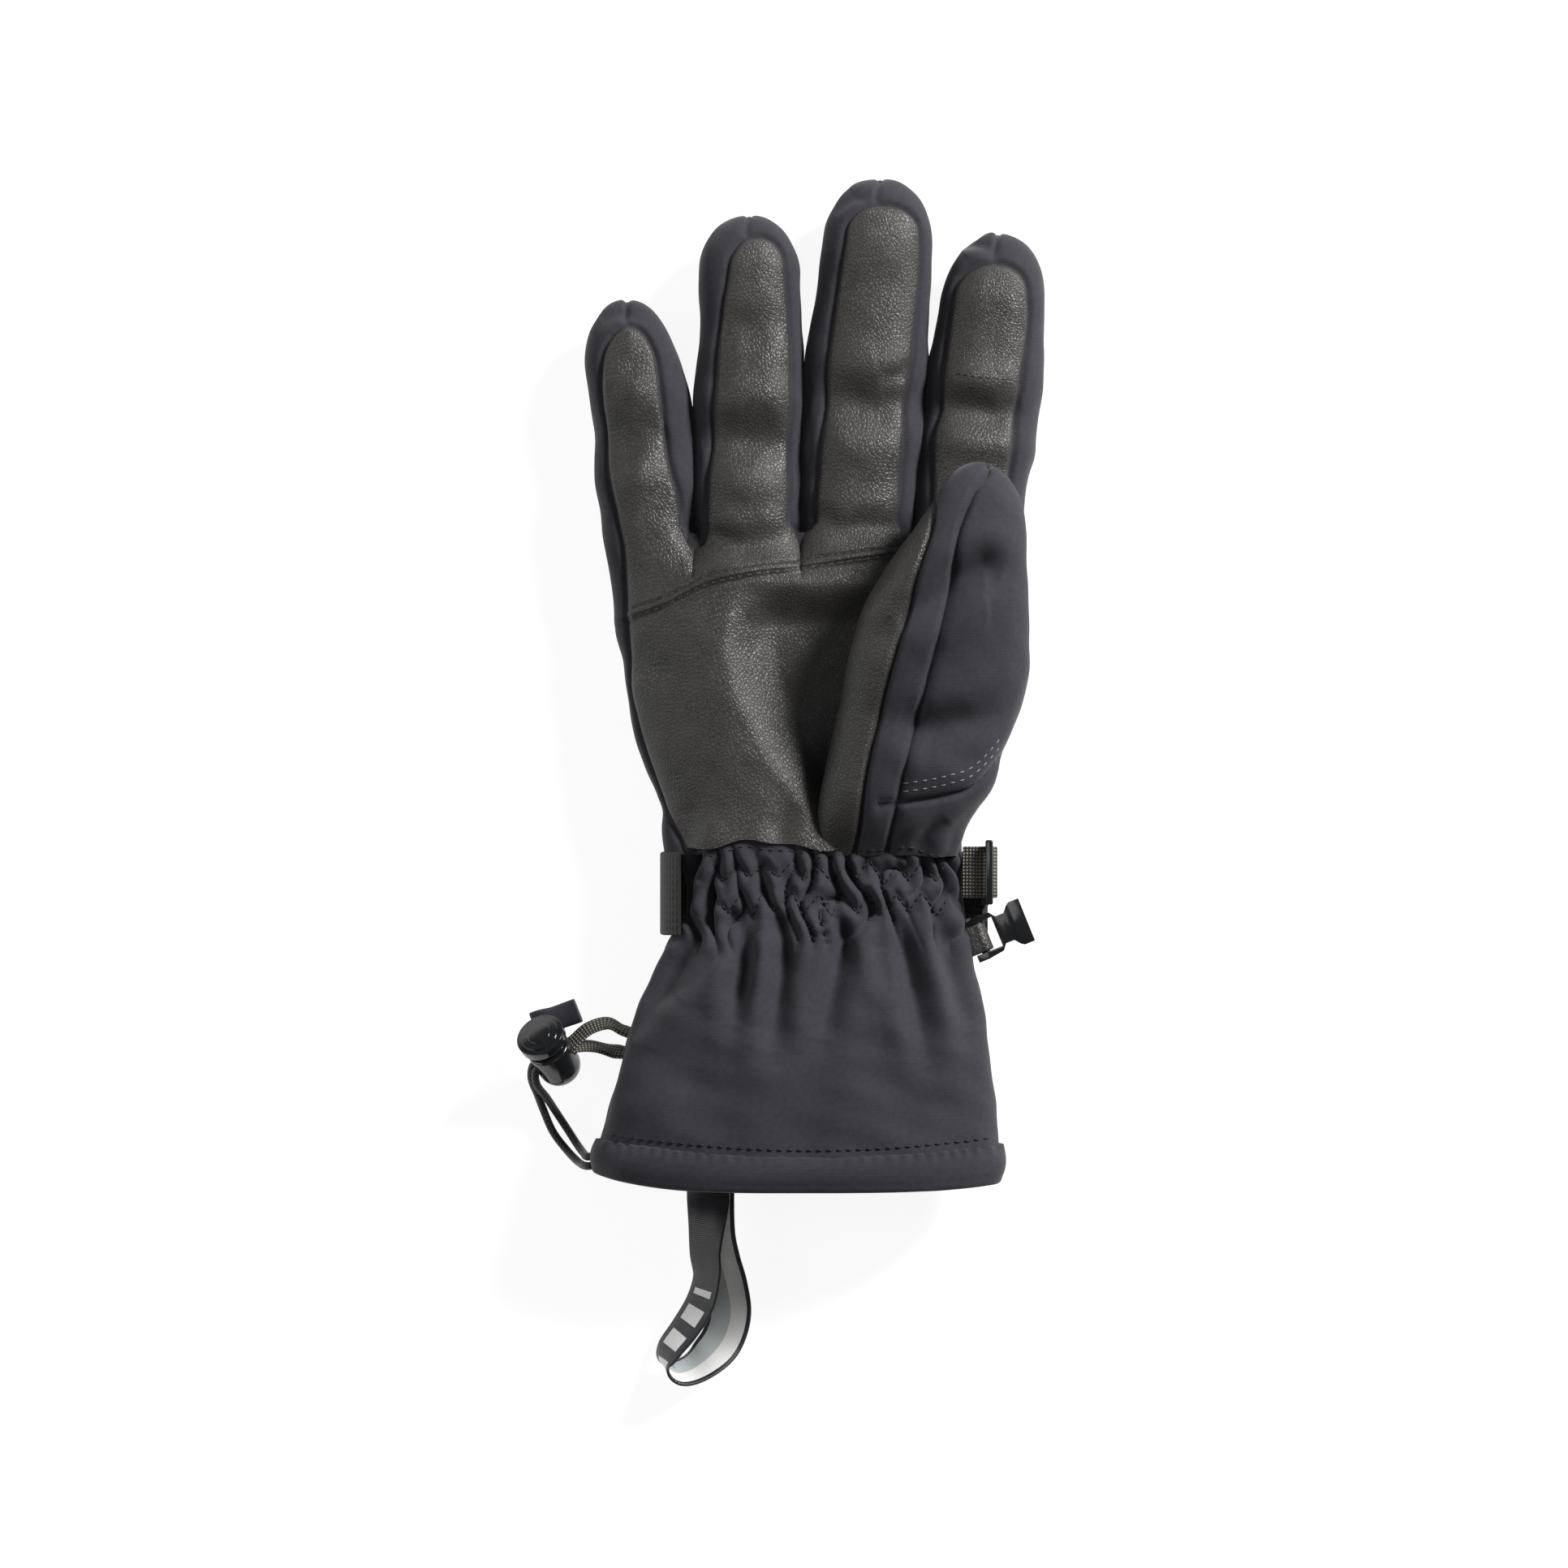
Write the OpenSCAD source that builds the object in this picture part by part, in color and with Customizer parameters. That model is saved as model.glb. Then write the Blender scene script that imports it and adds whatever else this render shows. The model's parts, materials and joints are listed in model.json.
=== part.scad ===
// Insulated ski glove for a right hand, lying on its back with the palm up.
// +X runs towards the thumb side, +Y towards the fingertips, +Z out of the palm.
// Design heights (y) count from the wrist seam; place() moves the whole glove so that its
// origin lies under the middle of its outline. Every length is in millimetres.

/* [Hand] */
// Thickness of the outer fabric and leather panels
shell_t = 1.2; // [1:0.1:1.6]
// Thickness of the insulation layer
fill_t = 1.4; // [1.2:0.1:2.4]
// Thickness of the fleece lining
lining_t = 1; // [0.8:0.1:1.2]
// Squareness of the padded cross-sections, where 2 is an ellipse
fullness = 2.6; // [2.2:0.1:3]
// Height above the wrist seam at which the fingers part
crotch_y = 94; // [92:1:96]
// Slack wedge at each finger joint, half angle in degrees
flex_half = 30; // [28:1:32]

/* [Cuff] */
// Height of the gathered wrist band
wrist_h = 22; // [20:1:24]
// Distance from the wrist seam to the cuff's hem seam
hem_seam_y = 88; // [84:1:90]
// Distance from the wrist seam to the cuff's mouth
mouth_y = 102; // [100:1:104]

/* [Hardware] */
// Width of the webbing on the wrist strap
strap_w = 25; // [24:1:26]
// Diameter of the elastic drawcord
cord_d = 2.4; // [2:0.2:2.6]
// Outer diameter of the cord lock's barrel
lock_d = 13; // [12.5:0.5:13.5]
// Length of the cord lock's barrel
lock_h = 14.5; // [14.5:0.5:15.5]
// Travel of the cord lock's plunger
lock_travel = 3; // [2:0.5:3]
// Outer width of the clip buckle
clip_w = 13.4; // [13:0.2:13.8]
// Length of the clip buckle from its webbing bar to its mouth
clip_l = 14.6; // [14:0.2:15]
// Thickness of the clip buckle
clip_t = 5.4; // [5.2:0.2:6]

/* [Hidden] */

// The origin in design coordinates: under the middle of the outline.
origin = [1.2, 18.1, 0];

// Free space between neighbouring panels and layers.
gap = 0.2;
// Room between the shell and the layers inside it.
fill_room = 1;
fill_d = shell_t + fill_room;
lining_d = fill_d + fill_t + gap;
inner_d = lining_d + lining_t;

// Angles round a cross-section: 0 is the thumb side, 90 the palm side, 270 the back.
leather_a = [44, 136];
blade_a = [137, 223];
back_a = [224, 316];
index_a = [-43, 43];
palm_leather_a = [24, 156];
palm_blade_a = [157, 223];
palm_index_a = [-43, 23];

fabric = [0.19, 0.19, 0.21];
leather = [0.24, 0.23, 0.21];
fleece = [0.13, 0.13, 0.14];
wadding = [0.80, 0.80, 0.78];
webbing = [0.11, 0.10, 0.09];
plastic = [0.06, 0.06, 0.06];
steel = [0.60, 0.60, 0.62];

// A form is a padded tube along +Y: [centre x, half width, half height, lowest z] as tables
// over y, then the y of its closed tip and the radius with which it rounds off there.
palm_form = [
    [[0, 4.2], [14, 0.8], [34, 0], [94, 0]],
    [[0, 40.3], [14, 46.2], [34, 52.2], [53, 55.7], [72, 58.3], [94, 62]],
    [[0, 15], [34, 17], [60, 16.5], [94, 13.6]],
    [[0, 3.2], [20, -1.2], [94, -1.2]],
    1000, 100
];
little_form = [
    [[94, -48.2], [112, -49.6], [144, -53.2], [161, -55]],
    [[94, 13.9], [112, 14.3], [140, 13.4], [161, 12.6]],
    [[94, 12.6], [161, 11.6]], [[94, -1.2], [161, -0.6]], 160.8, 14
];
ring_form = [
    [[94, -18.6], [144, -18.1], [186, -17.6]],
    [[94, 14.9], [120, 15.3], [160, 14.6], [186, 13.6]],
    [[94, 13.2], [186, 12.2]], [[94, -1.2], [186, -0.6]], 186, 15
];
middle_form = [
    [[94, 13.8], [110, 14.6], [140, 16.1], [178, 19.3], [197, 20.2]],
    [[94, 15.7], [110, 16.2], [140, 17.3], [178, 15.9], [197, 15.6]],
    [[94, 13.4], [197, 12.6]], [[94, -1.2], [197, -0.6]], 196.8, 16
];
index_form = [
    [[94, 46.9], [125, 50.3], [149, 52.4], [165, 53.9], [181, 55]],
    [[94, 15.2], [112, 15.8], [145, 16], [181, 14.6]],
    [[94, 13.2], [181, 12.4]], [[94, -1.2], [181, -0.6]], 180.7, 15
];
thumb_form = [
    [[4, 23], [30, 32], [50, 36.2], [67, 38.8], [84, 43.2], [100, 48], [112, 49.4]],
    [[4, 21.6], [30, 25], [50, 25.2], [67, 23.8], [84, 18.6], [100, 14], [112, 13]],
    [[4, 12], [40, 14.5], [84, 13], [112, 12.6]],
    [[4, 16], [40, 19], [67, 25.5], [84, 28], [112, 28.5]], 112, 13
];
wrist_form = [
    [[-22, 4.2], [0, 4.2]], [[-22, 41], [0, 40.3]], [[-22, 15.5], [0, 15]],
    [[-22, 3.2], [0, 3.2]], 1000, 100
];
cuff_form = [
    [[-102, -4.6], [-88, -4], [-60, -1.6], [-36, 0.4], [-22, 4.2]],
    [[-102, 59.2], [-88, 58.6], [-60, 54], [-36, 47], [-22, 41]],
    [[-102, 21], [-88, 20.5], [-22, 15.5]],
    [[-102, 0.4], [-88, 0.2], [-36, 2.4], [-22, 3.2]], 1000, 100
];
hem_form = [
    [[-102, -4.8], [-88, -4.4]], [[-102, 60.8], [-95, 61.2], [-88, 60]],
    [[-102, 21.6], [-88, 21.6]], [[-102, -1.2], [-88, -1.2]], 1000, 100
];
strap_form = [
    [[-31, 3.6], [-2, 4]], [[-31, 46.9], [-2, 47.2]], [[-31, 17.4], [-2, 17.4]],
    [[-31, -0.6], [-2, -0.6]], 1000, 100
];

// Finger joints: the y of each knuckle crease; the axis lies flex_z above the table.
little_knuckle = 114;
ring_knuckle = 119;
middle_knuckle = 125;
index_knuckle = 120;
thumb_knuckle = 76;
flex_z = 19;
thumb_half = 16;
thumb_flex_x = 46;
seam_y = [63.6, 84];
seam_x = [-54, 24];

function power(v, p) = sign(v) * pow(abs(v), p);
function tip_scale(form, y, d) =
    let (tip = form[4] - d, r = form[5] - d, s = (y - tip + r) / r)
    s <= 0 ? 1 : sqrt(max(0, 1 - s * s));
// A point on the form, d inside its outer surface. The table flattens what would lie below it.
function on_form(form, y, a, d) =
    let (k = tip_scale(form, y, d), hw = lookup(y, form[1]) - d, hh = lookup(y, form[2]))
    [
        lookup(y, form[0]) + k * hw * power(cos(a), 2 / fullness),
        y,
        max(d, lookup(y, form[3]) + hh + k * (hh - d) * power(sin(a), 2 / fullness))
    ];

function grid(rows, cols, at, flip) = [
    for (j = [0 : rows - 1], i = [0 : cols - 1])
        let (p = at + j * (cols + 1) + i, q = p + cols + 1)
        flip ? [p, p + 1, q + 1, q] : [p, q, q + 1, p + 1]
];
// The four rims that join an outer sheet of points to an inner one.
function rims(rows, cols) =
    let (w = cols + 1, n = (rows + 1) * w)
    concat(
        [for (i = [0 : cols - 1]) [i + 1, i, n + i, n + i + 1]],
        [for (i = [0 : cols - 1]) let (b = rows * w) [b + i, b + i + 1, n + b + i + 1, n + b + i]],
        [for (j = [0 : rows - 1]) [j * w, (j + 1) * w, n + (j + 1) * w, n + j * w]],
        [for (j = [0 : rows - 1]) let (b = cols) [(j + 1) * w + b, j * w + b, n + j * w + b, n + (j + 1) * w + b]]
    );

// The slack of a joint: how far a panel's end stands back at the point p. way says which
// coordinate it grows with, in which direction, from where, and by how much per millimetre.
finger_way = [2, 1, flex_z, tan(flex_half)];
thumb_way = [0, -1, thumb_flex_x, tan(thumb_half)];
function slack(way, p) = way[3] * max(0, way[1] * (p[way[0]] - way[2]));

// A panel: the part of a form's wall between two y values and two angles, from depth d0 to d1.
// Its ends stand back by the slack of a joint or follow a slope across x.
module panel(
    form, y0, y1, a, d0 = 0, d1 = shell_t, cols = 6, rows = 4,
    slack0 = undef, slack1 = undef, slope0 = 0, slope1 = 0
) {
    function spot(j, i, d) =
        let (
            angle = a[0] + (a[1] - a[0]) * i / cols,
            p0 = on_form(form, y0, angle, d), p1 = on_form(form, y1, angle, d),
            start = y0 + slope0 * p0[0] + (is_undef(slack0) ? 0 : slack(slack0, p0)),
            stop = y1 + slope1 * p1[0] - (is_undef(slack1) ? 0 : slack(slack1, p1))
        )
        on_form(form, start + (stop - start) * j / rows, angle, d);
    points = [for (d = [d0, d1], j = [0 : rows], i = [0 : cols]) spot(j, i, d)];
    n = (rows + 1) * (cols + 1);
    polyhedron(points, concat(grid(rows, cols, 0, true), grid(rows, cols, n, false), rims(rows, cols)));
}

function ring(form, y, d, sides) = [for (i = [0 : sides - 1]) on_form(form, y, 360 * i / sides, d)];
function skin(loops, sides, at, flip) = [
    for (j = [0 : loops - 2], i = [0 : sides - 1])
        let (k = (i + 1) % sides, p = at + j * sides, q = p + sides)
        flip ? [p + i, p + k, q + k, q + i] : [p + i, q + i, q + k, p + k]
];
function disc(at, sides, flip) = [[for (i = [0 : sides - 1]) at + (flip ? i : sides - 1 - i)]];
// Heights of the rings of a tube that ends in the form's closed tip, closer together near it.
function tip_heights(form, y0, d, rows) =
    [for (j = [0 : rows]) y0 + (form[4] - d - 0.04 - y0) * sin(90 * j / rows)];

// A tube with open ends, from depth d0 to d1.
module tube(form, y0, y1, d0, d1, sides = 16, rows = 4) {
    loops = [for (d = [d0, d1], j = [0 : rows]) ring(form, y0 + (y1 - y0) * j / rows, d, sides)];
    n = (rows + 1) * sides;
    ends = [
        for (i = [0 : sides - 1])
            let (k = (i + 1) % sides, b = rows * sides)
            each [[k, i, n + i, n + k], [b + i, b + k, n + b + k, n + b + i]]
    ];
    polyhedron([for (l = loops, p = l) p], concat(skin(rows + 1, sides, 0, true), skin(rows + 1, sides, n, false), ends));
}

// A sock: a tube that the form's tip closes.
module sock(form, y0, d0, d1, sides = 16, rows = 6) {
    loops = [for (d = [d0, d1], y = tip_heights(form, y0, d, rows)) ring(form, y, d, sides)];
    n = (rows + 1) * sides;
    rim = [for (i = [0 : sides - 1]) let (k = (i + 1) % sides) [k, i, n + i, n + k]];
    polyhedron(
        [for (l = loops, p = l) p],
        concat(
            skin(rows + 1, sides, 0, true), skin(rows + 1, sides, n, false), rim,
            disc(rows * sides, sides, true), disc(n + rows * sides, sides, false)
        )
    );
}

// The whole inside of a form from y0 to y1, d below its surface.
module core(form, y0, y1, d, sides = 24, rows = 8) {
    loops = [for (j = [0 : rows]) ring(form, y0 + (y1 - y0) * j / rows, d, sides)];
    polyhedron(
        [for (l = loops, p = l) p],
        concat(skin(rows + 1, sides, 0, true), disc(0, sides, false), disc(rows * sides, sides, true))
    );
}

// A ribbon or cord along a route: section is a closed outline in [across, up], and each stop
// is [point, across direction].
function unit(v) = v / norm(v);
function blend_route(stops, t) =
    let (
        n = len(stops) - 1, s = min(n - 1e-6, t * n), i = floor(s), u = s - i,
        a = stops[max(0, i - 1)], b = stops[i], c = stops[min(n, i + 1)], e = stops[min(n, i + 2)]
    )
    0.5 * (2 * b + (c - a) * u + (2 * a - 5 * b + 4 * c - e) * u * u + (3 * b - a - 3 * c + e) * u * u * u);
module sweep(route, across, section, steps) {
    sides = len(section);
    function at(t) = blend_route(route, t);
    function along(t) = unit(at(min(1, t + 0.01)) - at(max(0, t - 0.01)));
    loops = [
        for (j = [0 : steps])
            let (
                t = j / steps, ahead = along(t), w = blend_route(across, t),
                side = unit(w - (w * ahead) * ahead), up = cross(side, ahead)
            )
            [for (p = section) at(t) + side * p[0] + up * p[1]]
    ];
    polyhedron(
        [for (l = loops, p = l) p],
        concat(skin(steps + 1, sides, 0, true), disc(0, sides, false), disc(steps * sides, sides, true))
    );
}
function flat_section(w, t) = [[-w / 2, -t / 2], [w / 2, -t / 2], [w / 2, t / 2], [-w / 2, t / 2]];
function round_section(d, sides) = [for (i = [0 : sides - 1]) d / 2 * [cos(360 * i / sides), sin(360 * i / sides)]];

// Joins panels through one mesh, because they only touch or stand apart.
module sewn() {
    resize([0, 0, 0]) children();
}
module place() {
    translate(-origin) children();
}

// ---- Hand ----

// Half the gap between the two sides of a joint where its wedge is closed.
flex_gap = 0.6;

module palm_lower_panel() {
    color(leather) place() sewn() difference() {
        panel(palm_form, 0.3, seam_mid() - gap, palm_leather_a, cols = 16, rows = 6, slope1 = seam_slope());
        core(thumb_form, 4, 90, shell_t);
    }
}
function seam_slope() = (seam_y[1] - seam_y[0]) / (seam_x[1] - seam_x[0]);
function seam_mid() = seam_y[0] - seam_slope() * seam_x[0];

module palm_upper_panel() {
    color(leather) place() sewn() {
        difference() {
            panel(palm_form, seam_mid() + gap, crotch_y, palm_leather_a, cols = 16, rows = 3, slope0 = seam_slope());
            core(thumb_form, 4, 110, -1);
        }
        for (f = fingers()) finger_stub(f, leather_a);
    }
}

// Each finger's form and knuckle, from the little finger to the index.
function fingers() = [
    [little_form, little_knuckle], [ring_form, ring_knuckle],
    [middle_form, middle_knuckle], [index_form, index_knuckle]
];
// A panel of a finger between the crotch and its knuckle.
module finger_stub(f, a) {
    panel(f[0], crotch_y + gap + 0.1, f[1] - flex_gap, a, rows = 2, slack1 = finger_way);
}

module back_panel() {
    color(fabric) place() sewn() {
        panel(palm_form, 0.3, crotch_y, back_a, cols = 14, rows = 6);
        for (f = fingers()) finger_stub(f, back_a);
    }
}
module blade_side_gusset() {
    color(fabric) place() sewn() {
        panel(palm_form, 0.3, crotch_y, palm_blade_a, rows = 6);
        finger_stub(fingers()[0], blade_a);
    }
}
module index_side_gusset() {
    color(fabric) place() sewn() {
        difference() {
            panel(palm_form, 0.3, crotch_y, palm_index_a, rows = 6);
            core(thumb_form, 4, 90, shell_t);
        }
        finger_stub(fingers()[3], index_a);
    }
}
// The two walls that face each other between neighbouring fingers.
module fourchette(left, right) {
    color(fabric) place() sewn() {
        finger_stub(fingers()[left], index_a);
        finger_stub(fingers()[right], blade_a);
    }
}
module hand_insulation() {
    color(wadding) place() sewn() difference() {
        union() {
            tube(palm_form, 1, crotch_y - 1, fill_d, fill_d + fill_t, sides = 32, rows = 5);
            finger_stub_layers(fill_d, fill_d + fill_t);
        }
        core(thumb_form, 4, 90, fill_d);
    }
}
// The hidden layers of the finger roots, clear of the knuckle's wedge.
module finger_stub_layers(d0, d1) {
    for (f = fingers()) tube(f[0], crotch_y + gap, f[1] - 5, d0, d1, sides = 16, rows = 1);
}
module hand_lining() {
    color(fleece) place() sewn() difference() {
        union() {
            tube(palm_form, 1, crotch_y - 1, lining_d, inner_d, sides = 32, rows = 5);
            finger_stub_layers(lining_d, inner_d);
        }
        core(thumb_form, 4, 90, fill_d);
    }
}

// ---- Fingers beyond their knuckles ----

// How far below its tip the leather of a finger ends.
leather_end = 9;
function leather_top(form) = form[4] - leather_end;
module finger_leather(f, top) {
    color(leather) place() panel(f[0], f[1] + flex_gap, top, leather_a, slack0 = finger_way);
}
module finger_back(f) {
    color(fabric) place()
        panel(f[0], f[1] + flex_gap, leather_top(f[0]), back_a, slack0 = finger_way);
}
module finger_fourchette(f) {
    color(fabric) place() sewn() {
        for (a = [index_a, blade_a])
            panel(f[0], f[1] + flex_gap, leather_top(f[0]), a, cols = 4, slack0 = finger_way);
        sock(f[0], leather_top(f[0]) + gap, 0, shell_t, sides = 20, rows = 4);
    }
}
// The insulated fleece sock inside a finger, which stops short of the wedge.
module finger_lining(f) {
    color(fleece) place() sock(f[0], f[1] + 6, fill_d, inner_d, sides = 14);
}
touch_seam_y = 137;
module index_touch_tip() {
    color(leather) place()
        panel(index_form, touch_seam_y + gap, leather_top(index_form), leather_a);
}

// ---- Thumb ----

thumb_leather_a = [118, 222];
thumb_strip_a = [72, 117];
thumb_back_a = [-137, 71];
module thumb_base_wall(a, cols) {
    sewn() difference() {
        panel(thumb_form, 6, thumb_knuckle - flex_gap, a, rows = 6, cols = cols, slack1 = thumb_way);
        core(palm_form, 0, crotch_y + 8, -gap, sides = 40);
    }
}
module thumb_base_leather() {
    color(leather) place() thumb_base_wall(thumb_leather_a, 8);
}
module thumb_base_strip() {
    color(fabric) place() thumb_base_wall(thumb_strip_a, 4);
}
module thumb_base_back() {
    color(fabric) place() thumb_base_wall(thumb_back_a, 14);
}
module thumb_base_lining() {
    color(fleece) place() sewn() difference() {
        tube(thumb_form, 7, thumb_knuckle - 9, fill_d, inner_d, sides = 20, rows = 5);
        core(palm_form, 0, crotch_y + 8, fill_d, sides = 40);
    }
}
module thumb_tip_wall(a, cols) {
    panel(thumb_form, thumb_knuckle + flex_gap, thumb_form[4] - leather_end, a, cols = cols, slack0 = thumb_way);
}
module thumb_leather() {
    color(leather) place() thumb_tip_wall(thumb_leather_a, 7);
}
module thumb_strip() {
    color(fabric) place() sewn() {
        thumb_tip_wall(thumb_strip_a, 4);
        sock(thumb_form, thumb_form[4] - leather_end + gap, 0, shell_t, sides = 20, rows = 4);
    }
}
module thumb_back() {
    color(fabric) place() thumb_tip_wall(thumb_back_a, 12);
}
module thumb_lining() {
    color(fleece) place() sock(thumb_form, thumb_knuckle + 9, fill_d, inner_d, sides = 14, rows = 5);
}

// ---- Wrist and cuff ----

module wrist_shell() {
    color(fabric) place() tube(wrist_form, -wrist_h, 0, 0, shell_t, sides = 36, rows = 3);
}
module wrist_elastic() {
    color(webbing) place() tube(wrist_form, -wrist_h + 3, -4, fill_d, fill_d + 1.4, sides = 36, rows = 2);
}
cuff_front_a = [1, 179];
cuff_back_a = [181, 359];
module cuff_panel(a) {
    panel(cuff_form, -hem_seam_y, -wrist_h - gap, a, cols = 20, rows = 5);
}
module cuff_front() {
    color(fabric) place() cuff_panel(cuff_front_a);
}
module cuff_back() {
    color(fabric) place() cuff_panel(cuff_back_a);
}
module cuff_lining() {
    color(fleece) place() tube(cuff_form, -hem_seam_y, -wrist_h - 1, fill_d, fill_d + lining_t, sides = 36, rows = 5);
}
hem_wall = 4.2;
module cuff_hem() {
    color(fabric) place() sewn() difference() {
        tube(hem_form, -mouth_y, -hem_seam_y - gap, 0, hem_wall, sides = 48, rows = 4);
        tube(hem_form, -mouth_y + 1, -hem_seam_y + 1, 1, hem_wall - 1, sides = 48, rows = 3);
    }
}
module hem_drawcord() {
    color(plastic) place() tube(hem_form, -96, -94, 1.4, 2.8, sides = 40, rows = 1);
}

// ---- Wrist strap, its slider and the clip ----

strap_y = [-27, -27 + strap_w];
strap_t = 1.6;
module wrist_strap() {
    color(webbing) place() panel(strap_form, strap_y[0], strap_y[1], [150, 352], 0, strap_t, cols = 18, rows = 1);
}
// The free end of the strap: a narrower hook-and-loop tab that lies against the wrist.
module strap_tab() {
    color(webbing) place()
        panel(strap_form, -18.5, strap_y[1] - 1, [356, 368], 0, strap_t, cols = 4, rows = 1);
}
// The slider: a rectangular plastic frame with a round middle bar, standing on edge at the
// thumb side; the bar turns inside a fold of webbing that is sewn to the wrist.
slider_size = [2.2, 19, 12];
slider_at = [52.2, -8.2, 24.5];
slider_bar_d = 2.4;
fold_w = 15.4;
module slider_place() {
    place() translate(slider_at) children();
}
// Webbing of width w folded round a bar along Y, with both legs running back by length l.
module webbing_fold(bar_d, t, w, l) {
    r = bar_d / 2 + 0.3;
    rotate([90, 0, 0]) difference() {
        cylinder(h = w, r = r + t, center = true, $fn = 32);
        cylinder(h = w + 1, r = r, center = true, $fn = 32);
        translate([-r - t, 0, 0]) cube([2 * (r + t), 2 * (r + t) + 1, w + 1], center = true);
    }
    for (z = [-r - t, r]) translate([-l, -w / 2, z]) cube([l, w, t]);
    translate([-l, -w / 2, -r]) cube([0.8, w, 2 * r]);
}
module slider_anchor() {
    color(webbing) slider_place() webbing_fold(slider_bar_d, 1.2, fold_w, 6.8);
}
module strap_slider() {
    color(plastic) slider_place() {
        difference() {
            cube(slider_size, center = true);
            cube(slider_size + [1, -3, -3.6], center = true);
        }
        rotate([90, 0, 0]) cylinder(h = slider_size[1] - 2, r = slider_bar_d / 2, center = true, $fn = 32);
    }
}

// The clip: the socket half of a small side-release buckle, turned clip_turn up from +X.
clip_turn = 22;
clip_at = [49.8, -27.6, 21];
clip_bar_d = 2.6;
clip_window = [-2, 5];
clip_rail = 1.8;
// One side of its outline from the bar's end to the mouth, as [along, across].
clip_side = [
    [-1.7, clip_w / 2 - 1.2], [0.2, clip_w / 2], [4.6, clip_w / 2], [6.6, 4.6], [9.2, 4.2],
    [10.6, clip_w / 2], [clip_l, clip_w / 2]
];
module clip_place() {
    place() translate(clip_at) rotate([0, 0, clip_turn]) children();
}
module clip_buckle() {
    n = len(clip_side);
    wide = clip_w - 2 * clip_rail;
    color(plastic) clip_place() sewn() {
        difference() {
            linear_extrude(height = clip_t, center = true)
                polygon(concat(clip_side, [for (i = [1 : n]) [clip_side[n - i][0], -clip_side[n - i][1]]]));
            translate([clip_window[0], -wide / 2, -clip_t]) cube([clip_window[1] - clip_window[0], wide, 2 * clip_t]);
            translate([8, -clip_w / 2 + 1.2, -clip_t / 2 + 1.1]) cube([clip_l, clip_w - 2.4, clip_t - 2.2]);
        }
        rotate([90, 0, 0]) cylinder(h = wide + 1, r = clip_bar_d / 2, center = true, $fn = 32);
    }
}
// The short loop that holds the clip: it folds round the clip's bar and back to the cuff.
module clip_loop() {
    color(webbing) clip_place() webbing_fold(clip_bar_d, 1, 7, 2.4);
}

// ---- Leash ----

leash_w = 13;
leash_t = 1;
leash_route = [
    [-30, -84, 21], [-30.5, -96, 15], [-30.6, -104, 9], [-31, -112, 7.5], [-31.5, -121, 7.5],
    [-31, -128, 8], [-33, -136, 8], [-37.5, -143.5, 8], [-42, -149.5, 8], [-43.6, -154, 7.6],
    [-40.6, -157, 6.8], [-36, -156.2, 5], [-31, -152.6, 4.2], [-26.5, -147, 2], [-24.4, -139.5, 1.6],
    [-25.4, -131.5, 1.6], [-27.4, -124, 1.8], [-29, -116, 2.8], [-29.4, -106, 5.4], [-29.2, -97, 7]
];
leash_across = [
    [1, 0, 0], [1, 0, 0], [1, 0, 0.15], [0.85, 0, 0.5], [0.75, 0.1, 0.75],
    [0.75, 0.1, 0.95], [0.8, -0.3, 1], [0.7, -0.4, 1], [0.6, -0.3, 1], [0.3, -0.3, 1],
    [0.2, -0.5, 1], [0.3, -0.7, 0.9], [0.4, -0.7, 0.5], [0.8, -0.6, 0.2], [1, -0.2, 0.1],
    [1, 0.2, 0.1], [1, 0.2, 0.2], [1, 0.1, 0.2], [1, 0, 0.1], [1, 0, 0]
];
module leash_ribbon() {
    color([0.55, 0.56, 0.58]) place() sweep(leash_route, leash_across, flat_section(leash_w, leash_t), 60);
}

// ---- Drawcord, cord lock and tether ----

// The lock leans back over the cuff's edge: its axis runs from its foot to the plunger's cap.
// Cords and tether enter through a slot along the lock's own X.
lock_foot = [-73, -68.5, 5.8];
lock_turn = [-44, 0, 31];
lock_wall = 1.6;
lock_slot_z = 9.6;
lock_slot = [lock_d + 2, cord_d + 4.4, cord_d + 0.8];
lock_bore_r = lock_d / 2 - lock_wall;
plunger_r = lock_bore_r - 0.1;
plunger_foot = 1.4;
cap_h = 2.6;
module lock_place() {
    place() translate(lock_foot) rotate(lock_turn) children();
}
module cord_lock_barrel() {
    color(plastic) lock_place() difference() {
        cylinder(h = lock_h, r = lock_d / 2, $fn = 48);
        translate([0, 0, lock_wall]) cylinder(h = lock_h, r = lock_bore_r, $fn = 48);
        translate([0, 0, lock_slot_z]) cube(lock_slot, center = true);
    }
}
module cord_lock_plunger() {
    bottom = lock_slot_z - lock_slot[2] / 2 - plunger_foot;
    cap_z = lock_h + lock_travel + 0.3;
    color(plastic) lock_place() difference() {
        union() {
            translate([0, 0, cap_z]) cylinder(h = cap_h, r = lock_d / 2 + 0.8, $fn = 48);
            translate([0, 0, bottom]) cylinder(h = cap_z - bottom + 0.1, r = plunger_r, $fn = 48);
        }
        translate([0, 0, lock_slot_z + lock_travel / 2]) cube(lock_slot + [0, 0, lock_travel], center = true);
    }
}
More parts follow.
